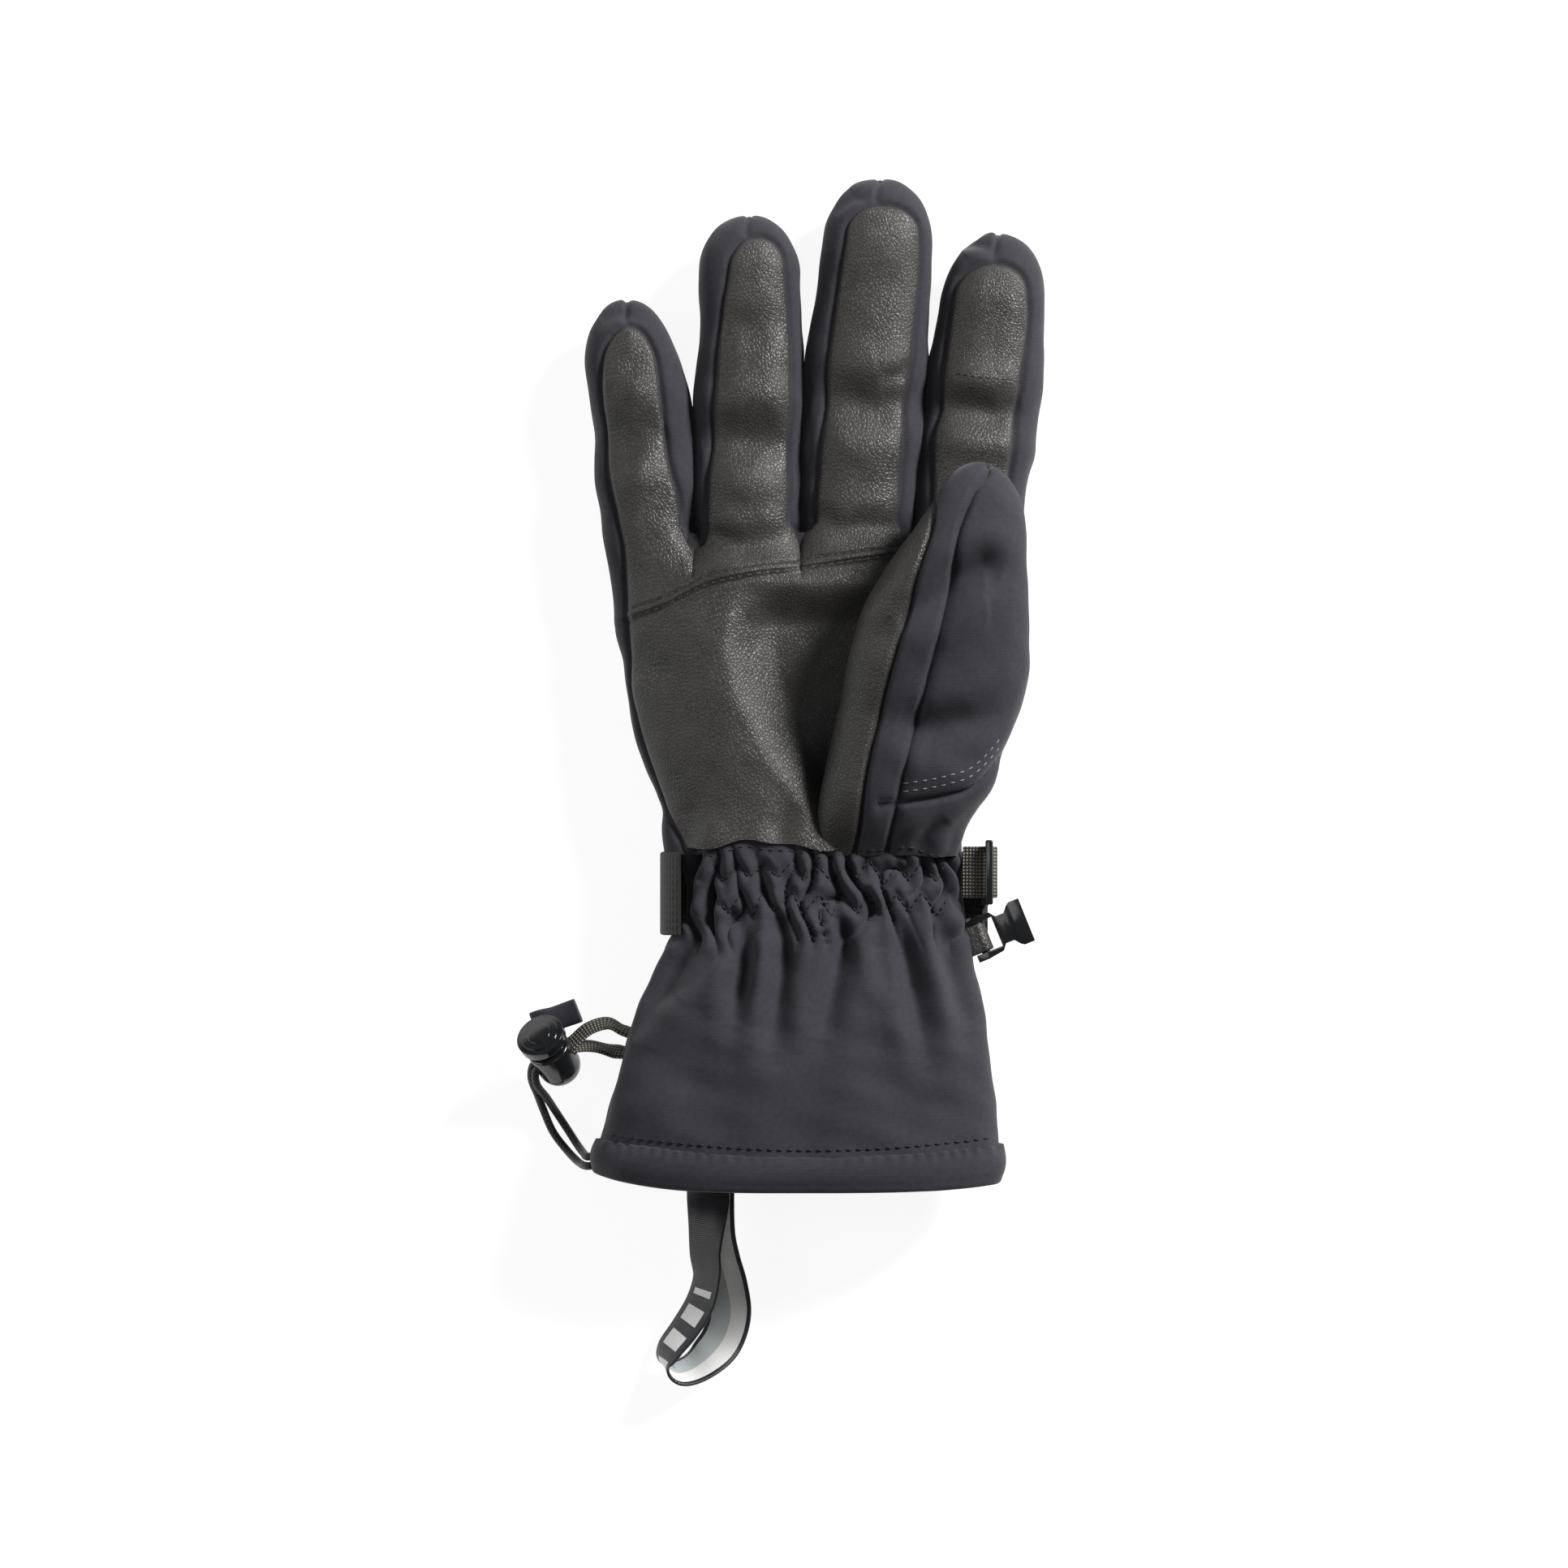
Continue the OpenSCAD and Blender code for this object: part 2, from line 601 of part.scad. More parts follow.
// The spring at its pressed height, since nothing here can squeeze it.
spring_h = 1.8;
module cord_lock_spring() {
    color(steel) lock_place() translate([0, 0, lock_wall]) difference() {
        cylinder(h = spring_h, r = 3.6, $fn = 32);
        translate([0, 0, -1]) cylinder(h = spring_h + 2, r = 2.9, $fn = 32);
    }
}
cord_outer_route = [
    [-79, -63.3, 11.8], [-82.4, -65.4, 11.8], [-83, -69.5, 9.6], [-81.2, -74.5, 6], [-79.6, -79, 3.2],
    [-76.8, -85.5, 2], [-72.6, -91, 2.6], [-69, -94.4, 7], [-66.6, -95.2, 14]
];
cord_inner_route = [
    [-78, -64.9, 13.6], [-81.5, -67.1, 13.5], [-81.4, -71.2, 11.2], [-78.6, -75.2, 6.6], [-76, -79.4, 3],
    [-72.6, -84.6, 2.2], [-69.6, -89.2, 3.4], [-67.6, -91.6, 8], [-66.4, -92.4, 14]
];
module drawcord(route) {
    color(plastic) place()
        sweep(route, [for (p = route) [0, 0, 1]], round_section(cord_d, 8), 30);
}
// A flat braided tape from the cuff's edge, through the lock's slot and back.
tether_w = 5;
tether_route = [
    [-55.9, -55, 14], [-60.5, -53, 13], [-66, -54.6, 13], [-70.5, -58.4, 13.2], [-74.6, -61.6, 13.2],
    [-75, -62.6, 12.2], [-71.07, -60.15, 12.14], [-65.4, -59.8, 11], [-60, -61, 11], [-56.2, -61.6, 12.6]
];
module tether_loop() {
    color(webbing) place()
        sweep(tether_route, [for (p = tether_route) [0.4, -0.6, 0.7]], flat_section(tether_w, 1.2), 40);
}
module pull_tab() {
    color(fabric) place() translate([-74.6, -51.4, 9.4]) rotate([0, 0, 10]) cube([13, 7, 2.4], center = true);
}

palm_lower_panel();
palm_upper_panel();
back_panel();
blade_side_gusset();
index_side_gusset();
fourchette(0, 1);  // little_ring_fourchette
fourchette(1, 2);  // ring_middle_fourchette
fourchette(2, 3);  // middle_index_fourchette
hand_insulation();
hand_lining();
finger_leather(fingers()[0], leather_top(little_form));  // little_leather
finger_back(fingers()[0]);  // little_back
finger_fourchette(fingers()[0]);  // little_fourchette
finger_lining(fingers()[0]);  // little_lining
finger_leather(fingers()[1], leather_top(ring_form));  // ring_leather
finger_back(fingers()[1]);  // ring_back
finger_fourchette(fingers()[1]);  // ring_fourchette
finger_lining(fingers()[1]);  // ring_lining
finger_leather(fingers()[2], leather_top(middle_form));  // middle_leather
finger_back(fingers()[2]);  // middle_back
finger_fourchette(fingers()[2]);  // middle_fourchette
finger_lining(fingers()[2]);  // middle_lining
finger_leather(fingers()[3], touch_seam_y);  // index_leather
finger_back(fingers()[3]);  // index_back
finger_fourchette(fingers()[3]);  // index_fourchette
finger_lining(fingers()[3]);  // index_lining
index_touch_tip();
thumb_base_leather();
thumb_base_strip();
thumb_base_back();
thumb_base_lining();
thumb_leather();
thumb_strip();
thumb_back();
thumb_lining();
wrist_shell();
wrist_elastic();
cuff_front();
cuff_back();
cuff_lining();
cuff_hem();
hem_drawcord();
wrist_strap();
strap_tab();
slider_anchor();
strap_slider();
clip_loop();
clip_buckle();
leash_ribbon();
tether_loop();
cord_lock_barrel();
cord_lock_plunger();
cord_lock_spring();
drawcord(cord_outer_route);  // drawcord_outer
drawcord(cord_inner_route);  // drawcord_inner
pull_tab();
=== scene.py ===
"""Finished model of an insulated ski glove over its CAD frame.

All shapes are set out in the part's design millimetres: x towards the thumb, y towards the
fingertips from the wrist seam, z out of the palm. metres() turns them into the row frame.
"""

import json
import logging
import math
from collections.abc import Callable, Sequence
from dataclasses import dataclass, field
from enum import Enum

import bmesh
import bpy
import numpy as np
from mathutils import Euler, Matrix, Vector
from mathutils.bvhtree import BVHTree
from mathutils.kdtree import KDTree

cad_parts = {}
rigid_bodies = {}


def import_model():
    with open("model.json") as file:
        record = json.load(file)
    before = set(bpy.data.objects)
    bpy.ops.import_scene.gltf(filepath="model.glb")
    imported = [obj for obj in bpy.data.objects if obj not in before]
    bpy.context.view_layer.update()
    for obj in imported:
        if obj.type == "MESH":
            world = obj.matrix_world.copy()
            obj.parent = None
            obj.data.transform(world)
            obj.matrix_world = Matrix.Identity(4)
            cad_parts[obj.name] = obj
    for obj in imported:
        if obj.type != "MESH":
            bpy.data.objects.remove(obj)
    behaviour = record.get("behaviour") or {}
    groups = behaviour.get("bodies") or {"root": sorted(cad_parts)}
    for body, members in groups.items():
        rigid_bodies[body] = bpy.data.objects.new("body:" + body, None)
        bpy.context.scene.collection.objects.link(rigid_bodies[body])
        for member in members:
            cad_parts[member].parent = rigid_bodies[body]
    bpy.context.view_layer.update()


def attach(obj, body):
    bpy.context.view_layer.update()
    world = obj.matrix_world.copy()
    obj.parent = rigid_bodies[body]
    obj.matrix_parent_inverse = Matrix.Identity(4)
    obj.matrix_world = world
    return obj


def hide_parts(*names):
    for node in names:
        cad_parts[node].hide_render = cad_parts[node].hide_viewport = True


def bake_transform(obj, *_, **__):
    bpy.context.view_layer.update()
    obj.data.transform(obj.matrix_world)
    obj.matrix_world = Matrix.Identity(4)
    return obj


LOG = logging.getLogger("glove")
ORIGIN = np.array([1.2, 18.1, 0.0])  # of the row frame, in design mm
NO_TIP = 1e4  # a form or patch whose tip is here goes on without one
LOWEST = 0.05  # mm: soft surfaces lie no lower
Table = tuple[tuple[float, float], ...]
Array = np.ndarray


# ---- Measures and shapes ----


def metres(points: object) -> Array:
    """Design millimetres to metres in the row frame."""
    return (np.asarray(points, float) - ORIGIN) / 1000.0


def linear(hex_colour: str) -> tuple[float, float, float, float]:
    """An sRGB hex colour as linear RGBA."""
    values = [int(hex_colour[i : i + 2], 16) / 255 for i in (1, 3, 5)]
    return (*[v / 12.92 if v <= 0.04045 else ((v + 0.055) / 1.055) ** 2.4 for v in values], 1.0)


def smooth(table: Table, at: object) -> Array:
    """A smooth curve through a table of (position, value), level beyond its ends.

    Args:
        table: Pairs in rising order of position.
        at: Positions to read it at.

    Returns:
        The values there.
    """
    xs, ys = np.array(table, float).T
    at = np.asarray(at, float)
    if len(xs) == 1:
        return np.full(at.shape, ys[0])
    slope = np.gradient(ys, xs)
    i = np.clip(np.searchsorted(xs, at) - 1, 0, len(xs) - 2)
    h = xs[i + 1] - xs[i]
    u = np.clip((at - xs[i]) / h, 0, 1)
    return (
        (2 * u**3 - 3 * u**2 + 1) * ys[i]
        + (u**3 - 2 * u**2 + u) * h * slope[i]
        + (3 * u**2 - 2 * u**3) * ys[i + 1]
        + (u**3 - u**2) * h * slope[i + 1]
    )


def wave_scale(period_mm: float) -> float:
    """Wave texture scale for a period in mm, on coordinates of mm / 100."""
    return 31.416 / period_mm


def ease(low: float, high: float, at: object) -> Array:
    """0 below low, 1 above high, and an S-curve between."""
    t = np.clip((np.asarray(at, float) - low) / (high - low), 0, 1)
    return t * t * (3 - 2 * t)


def power(value: Array, exponent: float) -> Array:
    """A signed power."""
    return np.sign(value) * np.abs(value) ** exponent


def lumps(p: Array, wavelength: float, seed: int) -> Array:
    """Smooth unevenness of about -1 to 1, the same each time.

    Args:
        p: Points, in mm, along the last axis.
        wavelength: Size of a lump in mm.
        seed: Which pattern.

    Returns:
        Heights of about -1 to 1.
    """
    rng = np.random.default_rng(seed)
    total = np.zeros(p.shape[:-1])
    for _ in range(7):
        d = rng.normal(size=3)
        d *= 2 * math.pi / (wavelength * rng.uniform(0.7, 1.6) * np.linalg.norm(d))
        total += np.sin(p @ d + rng.uniform(0, 6.3))
    return total / 3.2


@dataclass(frozen=True)
class Crease:
    """A soft fold line in plan, with a valley and a raised lip on each side."""

    line: tuple[tuple[float, float], ...]
    depth: float
    width: float
    lip: float = 0.45

    def relief(self, x: Array, y: Array) -> Array:
        """Height it adds at plan points, fading towards its two ends.

        Args:
            x: Plan points' x in mm.
            y: Plan points' y in mm.

        Returns:
            Heights in mm, below 0 in the crease.
        """
        best = np.full(x.shape, 1e9)
        along = np.zeros(x.shape)
        n = len(self.line) - 1
        for i in range(n):
            (ax, ay), (bx, by) = self.line[i], self.line[i + 1]
            dx, dy = bx - ax, by - ay
            t = np.clip(((x - ax) * dx + (y - ay) * dy) / (dx * dx + dy * dy), 0, 1)
            d = np.hypot(x - ax - t * dx, y - ay - t * dy)
            near = d < best
            best = np.where(near, d, best)
            along = np.where(near, (i + t) / n, along)
        fade = np.clip(np.sin(np.pi * np.clip(along, 0.02, 0.98)), 0, 1) ** 0.6
        valley = -np.exp(-((best / self.width) ** 2))
        lips = self.lip * np.exp(-(((best - 2 * self.width) / self.width) ** 2))
        return self.depth * fade * (valley + lips)


@dataclass(frozen=True)
class Form:
    """A padded tube along y, given by its outline in plan, its height and its closed tip."""

    left: Table
    right: Table
    half_height: Table
    low: Table
    tip: float = NO_TIP
    round_off: float = 100.0
    fullness: float = 2.6

    def closing(self, y: Array, depth: float = 0.0) -> Array:
        """How much of the section is left near the tip, from 1 to 0."""
        if self.tip >= NO_TIP:
            return np.ones(np.shape(y))
        r = self.round_off
        s = np.clip((np.asarray(y, float) - (self.tip - r)) / (r - depth), 0, 1)
        return (1 - s**2.1) ** (1 / 2.1)

    def centre(self, y: Array) -> Array:
        """Middle of the outline."""
        return (smooth(self.left, y) + smooth(self.right, y)) / 2

    def half(self, y: Array) -> Array:
        """Half the outline's width."""
        return (smooth(self.right, y) - smooth(self.left, y)) / 2

    def point(self, y: object, angle: object, depth: float = 0.0) -> Array:
        """Points depth inside the surface.

        Args:
            y: Heights in mm.
            angle: Degrees, 0 at the thumb side, 90 on the palm side, 270 on the back.
            depth: Distance in from the surface, in mm.

        Returns:
            The points in mm.
        """
        y, angle = np.broadcast_arrays(np.asarray(y, float), np.radians(np.asarray(angle, float)))
        k = self.closing(y, depth)
        hh = smooth(self.half_height, y)
        x = self.centre(y) + k * (self.half(y) - depth) * power(np.cos(angle), 2 / self.fullness)
        z = smooth(self.low, y) + hh + k * (hh - depth) * power(np.sin(angle), 2 / self.fullness)
        z = depth + 0.35 * np.logaddexp((z - depth) / 0.35, 0)
        return np.stack([x, y, z], -1)

    def angle_at(self, y: Array, x: Array) -> Array:
        """The angle on the palm side at which the surface has this x."""
        q = np.clip((x - self.centre(y)) / (self.closing(y) * self.half(y) + 1e-6), -1, 1)
        return np.degrees(np.arccos(power(q, self.fullness / 2)))


@dataclass(frozen=True)
class Patch:
    """A leather patch's outline on a form: two edges in plan that meet at a rounded top."""

    left: Table
    right: Table
    top: float = NO_TIP
    round_off: float = 10.0

    def edges(self, y: Array) -> tuple[Array, Array]:
        """x of the left and right edge at heights y."""
        c = (smooth(self.left, y) + smooth(self.right, y)) / 2
        h = (smooth(self.right, y) - smooth(self.left, y)) / 2
        s = np.clip((np.asarray(y, float) - self.top + self.round_off) / self.round_off, 0, 1)
        k = np.sqrt(1 - s**2.2) if self.top < NO_TIP else 1.0
        return c - h * k, c + h * k


def normals(grid: Array, closed: bool) -> Array:
    """Outward unit normals of a grid of points, rows along y and columns round the form.

    Args:
        grid: Points by row and column.
        closed: True if its columns go all the way round.

    Returns:
        A unit vector for each point.
    """
    along = np.gradient(grid, axis=0)
    if closed:
        across = np.roll(grid, -1, 1) - np.roll(grid, 1, 1)
    else:
        across = np.gradient(grid, axis=1)
    n = np.cross(along, across)
    size = np.linalg.norm(n, axis=-1, keepdims=True)
    n = np.where(size > 1e-9, n / np.maximum(size, 1e-9), [0.0, 1.0, 0.0])
    return n


def mesh_object(name: str, verts: Array, faces: list, uv: Array | None = None) -> bpy.types.Object:
    """A smooth-shaded mesh object from design millimetres, with coincident points merged.

    Args:
        name: Name of the piece.
        verts: Points in mm.
        faces: Vertex index tuples, anticlockwise from outside.
        uv: One (u, v) in mm per vertex.

    Returns:
        The object, linked to the scene.
    """
    mesh = bpy.data.meshes.new(name)
    mesh.from_pydata(metres(verts).tolist(), [], faces)
    if uv is not None:
        layer = mesh.uv_layers.new(name="UVMap")
        loops = np.empty(len(mesh.loops), int)
        mesh.loops.foreach_get("vertex_index", loops)
        layer.data.foreach_set("uv", (uv[loops] / 100.0).ravel().astype(np.float32))
    bm = bmesh.new()
    bm.from_mesh(mesh)
    bmesh.ops.remove_doubles(bm, verts=bm.verts, dist=2e-6)
    bm.to_mesh(mesh)
    bm.free()
    mesh.polygons.foreach_set("use_smooth", [True] * len(mesh.polygons))
    obj = bpy.data.objects.new(name, mesh)
    bpy.context.scene.collection.objects.link(obj)
    return obj


def grid_object(name: str, grid: Array, closed: bool = False) -> bpy.types.Object:
    """A sheet through a grid of points, with UVs in mm along and across it.

    Args:
        name: Name of the piece.
        grid: Points in mm by row and column.
        closed: True if its columns go all the way round.

    Returns:
        The object.
    """
    rows = len(grid)
    pts = np.concatenate([grid, grid[:, :1]], 1) if closed else grid
    w = pts.shape[1]
    u = np.concatenate([np.zeros((rows, 1)), np.linalg.norm(np.diff(pts, axis=1), axis=-1).cumsum(1)], 1)
    u -= u[:, w // 2 : w // 2 + 1]
    uv = np.stack([u, pts[..., 1]], -1).reshape(-1, 2)
    faces = [
        (j * w + i, (j + 1) * w + i, (j + 1) * w + i + 1, j * w + i + 1)
        for j in range(rows - 1) for i in range(w - 1)
    ]
    LOG.info("%s: %d faces", name, len(faces))
    return mesh_object(name, pts.reshape(-1, 3), faces, uv)


# ---- Finishes ----


def node(tree: bpy.types.NodeTree, kind: str, settings: dict | None = None,
         links: dict | None = None) -> bpy.types.Node:
    """Adds one node.

    Args:
        tree: The material's node tree.
        kind: Blender's node type.
        settings: Socket values by socket name or index, and properties by name after a dot.
        links: What feeds each socket: an output socket.

    Returns:
        The node.
    """
    new = tree.nodes.new(kind)
    for key, value in (settings or {}).items():
        if isinstance(key, str) and key.startswith("."):
            setattr(new, key[1:], value)
        else:
            new.inputs[key].default_value = value
    for key, source in (links or {}).items():
        tree.links.new(source, new.inputs[key])
    return new


class Space(Enum):
    """What a material's pattern follows."""

    OBJECT = "Object"
    SURFACE = "UV"


@dataclass(frozen=True)
class Finish:
    """Base of every finish: a colour, its shader constants and a named material."""

    name: str
    colour: str
    roughness: float = 0.6
    specular: float = 0.5
    sheen: float = 0.0
    space: Space = Space.OBJECT

    def start(self) -> tuple[bpy.types.Material, bpy.types.NodeTree, bpy.types.Node, bpy.types.NodeSocket]:
        """An empty material with its shader, and the coordinates of its pattern.

        Returns:
            The material, its node tree, its shader and the pattern's coordinates.
        """
        material = bpy.data.materials.new(self.name)
        material.use_nodes = True
        tree = material.node_tree
        shader = tree.nodes["Principled BSDF"]
        shader.inputs["Base Color"].default_value = linear(self.colour)
        shader.inputs["Roughness"].default_value = self.roughness
        shader.inputs["Specular IOR Level"].default_value = self.specular
        shader.inputs["Sheen Weight"].default_value = self.sheen
        shader.inputs["Sheen Roughness"].default_value = 0.45
        where = node(tree, "ShaderNodeTexCoord").outputs[self.space.value]
        return material, tree, shader, where

    def material(self) -> bpy.types.Material:
        """The material, made once."""
        found = bpy.data.materials.get(self.name)
        return found or self.make()

    def make(self) -> bpy.types.Material:
        """Builds the material; finishes with a pattern override this."""
        return self.start()[0]

    def dress(self, obj: bpy.types.Object) -> bpy.types.Object:
        """Gives an object this finish in all its slots."""
        obj.data.materials.clear()
        obj.data.materials.append(self.material())
        return obj


@dataclass(frozen=True)
class PebbledLeather(Finish):
    """Polyurethane leather, embossed with a fine pebble: satin crests between dull pits."""

    pebble_mm: float = 1.15
    depth: float = 0.42

    def make(self) -> bpy.types.Material:
        """Pebbles from cells in millimetres, with uneven gloss and faint large blotches.

        Returns:
            The material.
        """
        material, tree, shader, where = self.start()
        warp = node(tree, "ShaderNodeTexNoise", {"Scale": 420.0, "Detail": 2.0}, {"Vector": where})
        moved = node(tree, "ShaderNodeVectorMath", {".operation": "MULTIPLY_ADD", 1: (0.0007,) * 3},
                     {0: warp.outputs["Color"], 2: where})
        cells = node(tree, "ShaderNodeTexVoronoi", {".feature": "DISTANCE_TO_EDGE", "Scale": 1000 / self.pebble_mm},
                     {"Vector": moved.outputs[0]})
        pit = node(tree, "ShaderNodeMapRange", {"From Min": 0.0, "From Max": 0.22},
                   {"Value": cells.outputs["Distance"]})
        blotch = node(tree, "ShaderNodeTexNoise", {"Scale": 55.0, "Detail": 5.0, "Roughness": 0.6}, {"Vector": where})
        fine = node(tree, "ShaderNodeTexNoise", {"Scale": 2600.0, "Detail": 2.0}, {"Vector": where})
        shade = node(tree, "ShaderNodeMapRange", {"From Min": 0.3, "From Max": 0.7, "To Min": 0.84, "To Max": 1.12},
                     {"Value": blotch.outputs["Fac"]})
        pitted = node(tree, "ShaderNodeMapRange", {"To Min": 0.62, "To Max": 1.0}, {"Value": pit.outputs[0]})
        both = node(tree, "ShaderNodeMath", {".operation": "MULTIPLY"}, {0: shade.outputs[0], 1: pitted.outputs[0]})
        tint = node(tree, "ShaderNodeVectorMath", {".operation": "SCALE", 0: linear(self.colour)[:3]},
                    {"Scale": both.outputs[0]})
        tree.links.new(tint.outputs[0], shader.inputs["Base Color"])
        gloss = node(tree, "ShaderNodeMapRange", {"From Min": 0.35, "From Max": 0.65,
                     "To Min": self.roughness - 0.05, "To Max": self.roughness + 0.09},
                     {"Value": blotch.outputs["Fac"]})
        tree.links.new(gloss.outputs[0], shader.inputs["Roughness"])
        height = node(tree, "ShaderNodeMath", {".operation": "MULTIPLY_ADD", 1: 0.25},
                      {0: fine.outputs["Fac"], 2: pit.outputs[0]})
        bump = node(tree, "ShaderNodeBump", {"Strength": self.depth, "Distance": 0.0003},
                    {"Height": height.outputs[0]})
        tree.links.new(bump.outputs[0], shader.inputs["Normal"])
        return material


@dataclass(frozen=True)
class WovenShell(Finish):
    """Brushed polyester softshell: matt, with fine crosswise ribs and a slight bloom of fibres."""

    rib_mm: float = 0.55
    depth: float = 0.22

    def make(self) -> bpy.types.Material:
        """Ribs drawn a little coarser than real so that they show, broken by slubs.

        Returns:
            The material.
        """
        material, tree, shader, where = self.start()
        slub = node(tree, "ShaderNodeTexNoise", {"Scale": 60.0, "Detail": 3.0}, {"Vector": where})
        ribs = node(tree, "ShaderNodeTexWave", {".bands_direction": "Y", "Scale": wave_scale(self.rib_mm),
                    "Distortion": 0.6, "Detail": 1.0, "Detail Scale": 40.0}, {"Vector": where})
        threads = node(tree, "ShaderNodeTexWave", {".bands_direction": "X", "Scale": wave_scale(0.62 * self.rib_mm),
                       "Distortion": 0.8, "Detail": 1.0, "Detail Scale": 40.0}, {"Vector": where})
        weave = node(tree, "ShaderNodeMath", {".operation": "MULTIPLY_ADD", 1: 0.5},
                     {0: threads.outputs["Fac"], 2: ribs.outputs["Fac"]})
        fuzz = node(tree, "ShaderNodeTexNoise", {"Scale": 260.0, "Detail": 4.0, "Roughness": 0.7},
                    {"Vector": where})
        mixed = node(tree, "ShaderNodeMath", {".operation": "MULTIPLY_ADD", 1: 0.14},
                     {0: weave.outputs[0], 2: slub.outputs["Fac"]})
        shade = node(tree, "ShaderNodeMapRange", {"From Min": 0.25, "From Max": 0.95, "To Min": 0.78, "To Max": 1.22},
                     {"Value": mixed.outputs[0]})
        tint = node(tree, "ShaderNodeVectorMath", {".operation": "SCALE", 0: linear(self.colour)[:3]},
                    {"Scale": shade.outputs[0]})
        tree.links.new(tint.outputs[0], shader.inputs["Base Color"])
        height = node(tree, "ShaderNodeMath", {".operation": "MULTIPLY_ADD", 1: 0.8},
                      {0: fuzz.outputs["Fac"], 2: weave.outputs[0]})
        bump = node(tree, "ShaderNodeBump", {"Strength": self.depth, "Distance": 0.00025},
                    {"Height": height.outputs[0]})
        tree.links.new(bump.outputs[0], shader.inputs["Normal"])
        return material


@dataclass(frozen=True)
class Webbing(Finish):
    """Narrow woven tape: rows of glossy ribs with the gaps of the weave between them."""

    rib_mm: float = 1.3
    cross_mm: float = 2.2
    flecks: str = "#2a2926"

    def make(self) -> bpy.types.Material:
        """Crossed waves in the tape's own UV, with lighter flecks at the crossings.

        Returns:
            The material.
        """
        material, tree, shader, where = self.start()
        ribs = node(tree, "ShaderNodeTexWave", {".bands_direction": "Y", "Scale": wave_scale(self.rib_mm)},
                    {"Vector": where})
        cross = node(tree, "ShaderNodeTexWave", {".bands_direction": "X", "Scale": wave_scale(self.cross_mm)},
                     {"Vector": where})
        weave = node(tree, "ShaderNodeMath", {".operation": "MULTIPLY"},
                     {0: ribs.outputs["Fac"], 1: cross.outputs["Fac"]})
        tint = node(tree, "ShaderNodeMix", {".data_type": "RGBA", 6: linear(self.colour), 7: linear(self.flecks)},
                    {0: weave.outputs[0]})
        tree.links.new(tint.outputs[2], shader.inputs["Base Color"])
        bump = node(tree, "ShaderNodeBump", {"Strength": 0.7, "Distance": 0.0004}, {"Height": weave.outputs[0]})
        tree.links.new(bump.outputs[0], shader.inputs["Normal"])
        return material


@dataclass(frozen=True)
class Fleece(Finish):
    """Brushed polyester fleece: soft, dark and unevenly fluffy."""

    def make(self) -> bpy.types.Material:
        """Fluff from noise at the size of a tuft, about 2 mm.

        Returns:
            The material.
        """
        material, tree, shader, where = self.start()
        tufts = node(tree, "ShaderNodeTexNoise", {"Scale": 480.0, "Detail": 5.0, "Roughness": 0.7}, {"Vector": where})
        shade = node(tree, "ShaderNodeMapRange", {"To Min": 0.6, "To Max": 1.4}, {"Value": tufts.outputs["Fac"]})
        tint = node(tree, "ShaderNodeVectorMath", {".operation": "SCALE", 0: linear(self.colour)[:3]},
                    {"Scale": shade.outputs[0]})
        tree.links.new(tint.outputs[0], shader.inputs["Base Color"])
        bump = node(tree, "ShaderNodeBump", {"Strength": 0.8, "Distance": 0.0008}, {"Height": tufts.outputs["Fac"]})
        tree.links.new(bump.outputs[0], shader.inputs["Normal"])
        return material


@dataclass(frozen=True)
class MouldedAcetal(Finish):
    """Injection-moulded acetal: black, polished by the mould, with faint handling marks."""

    def make(self) -> bpy.types.Material:
        """Near-even gloss, a little duller in patches, with a barely wavy skin.

        Returns:
            The material.
        """
        material, tree, shader, where = self.start()
        marks = node(tree, "ShaderNodeTexNoise", {"Scale": 300.0, "Detail": 4.0, "Roughness": 0.6}, {"Vector": where})
        gloss = node(tree, "ShaderNodeMapRange", {"From Min": 0.35, "From Max": 0.7,
                     "To Min": self.roughness - 0.06, "To Max": self.roughness + 0.1},
                     {"Value": marks.outputs["Fac"]})
        tree.links.new(gloss.outputs[0], shader.inputs["Roughness"])
        bump = node(tree, "ShaderNodeBump", {"Strength": 0.06, "Distance": 0.0002}, {"Height": marks.outputs["Fac"]})
        tree.links.new(bump.outputs[0], shader.inputs["Normal"])
        shader.inputs["Coat Weight"].default_value = 0.25
        shader.inputs["Coat Roughness"].default_value = 0.12
        return material


@dataclass(frozen=True)
class BraidedCord(Finish):
    """Braided polyester over rubber: fine helical strands."""

    strand_mm: float = 0.9

    def make(self) -> bpy.types.Material:
        """Diagonal waves both ways, in the cord's own UV or in object metres.

        Returns:
            The material.
        """
        material, tree, shader, where = self.start()
        scale = wave_scale(self.strand_mm) * (10 if self.space is Space.OBJECT else 1)
        turned = [
            node(tree, "ShaderNodeMapping", {"Rotation": (0, 0, math.radians(a))}, {"Vector": where})
            for a in (38, -38)
        ]
        waves = [node(tree, "ShaderNodeTexWave", {"Scale": scale}, {"Vector": t.outputs[0]}) for t in turned]
        braid = node(tree, "ShaderNodeMath", {".operation": "MAXIMUM"},
                     {0: waves[0].outputs["Fac"], 1: waves[1].outputs["Fac"]})
        shade = node(tree, "ShaderNodeMapRange", {"To Min": 0.5, "To Max": 1.5}, {"Value": braid.outputs[0]})
        tint = node(tree, "ShaderNodeVectorMath", {".operation": "SCALE", 0: linear(self.colour)[:3]},
                    {"Scale": shade.outputs[0]})
        tree.links.new(tint.outputs[0], shader.inputs["Base Color"])
        bump = node(tree, "ShaderNodeBump", {"Strength": 0.6, "Distance": 0.0003}, {"Height": braid.outputs[0]})
        tree.links.new(bump.outputs[0], shader.inputs["Normal"])
        return material


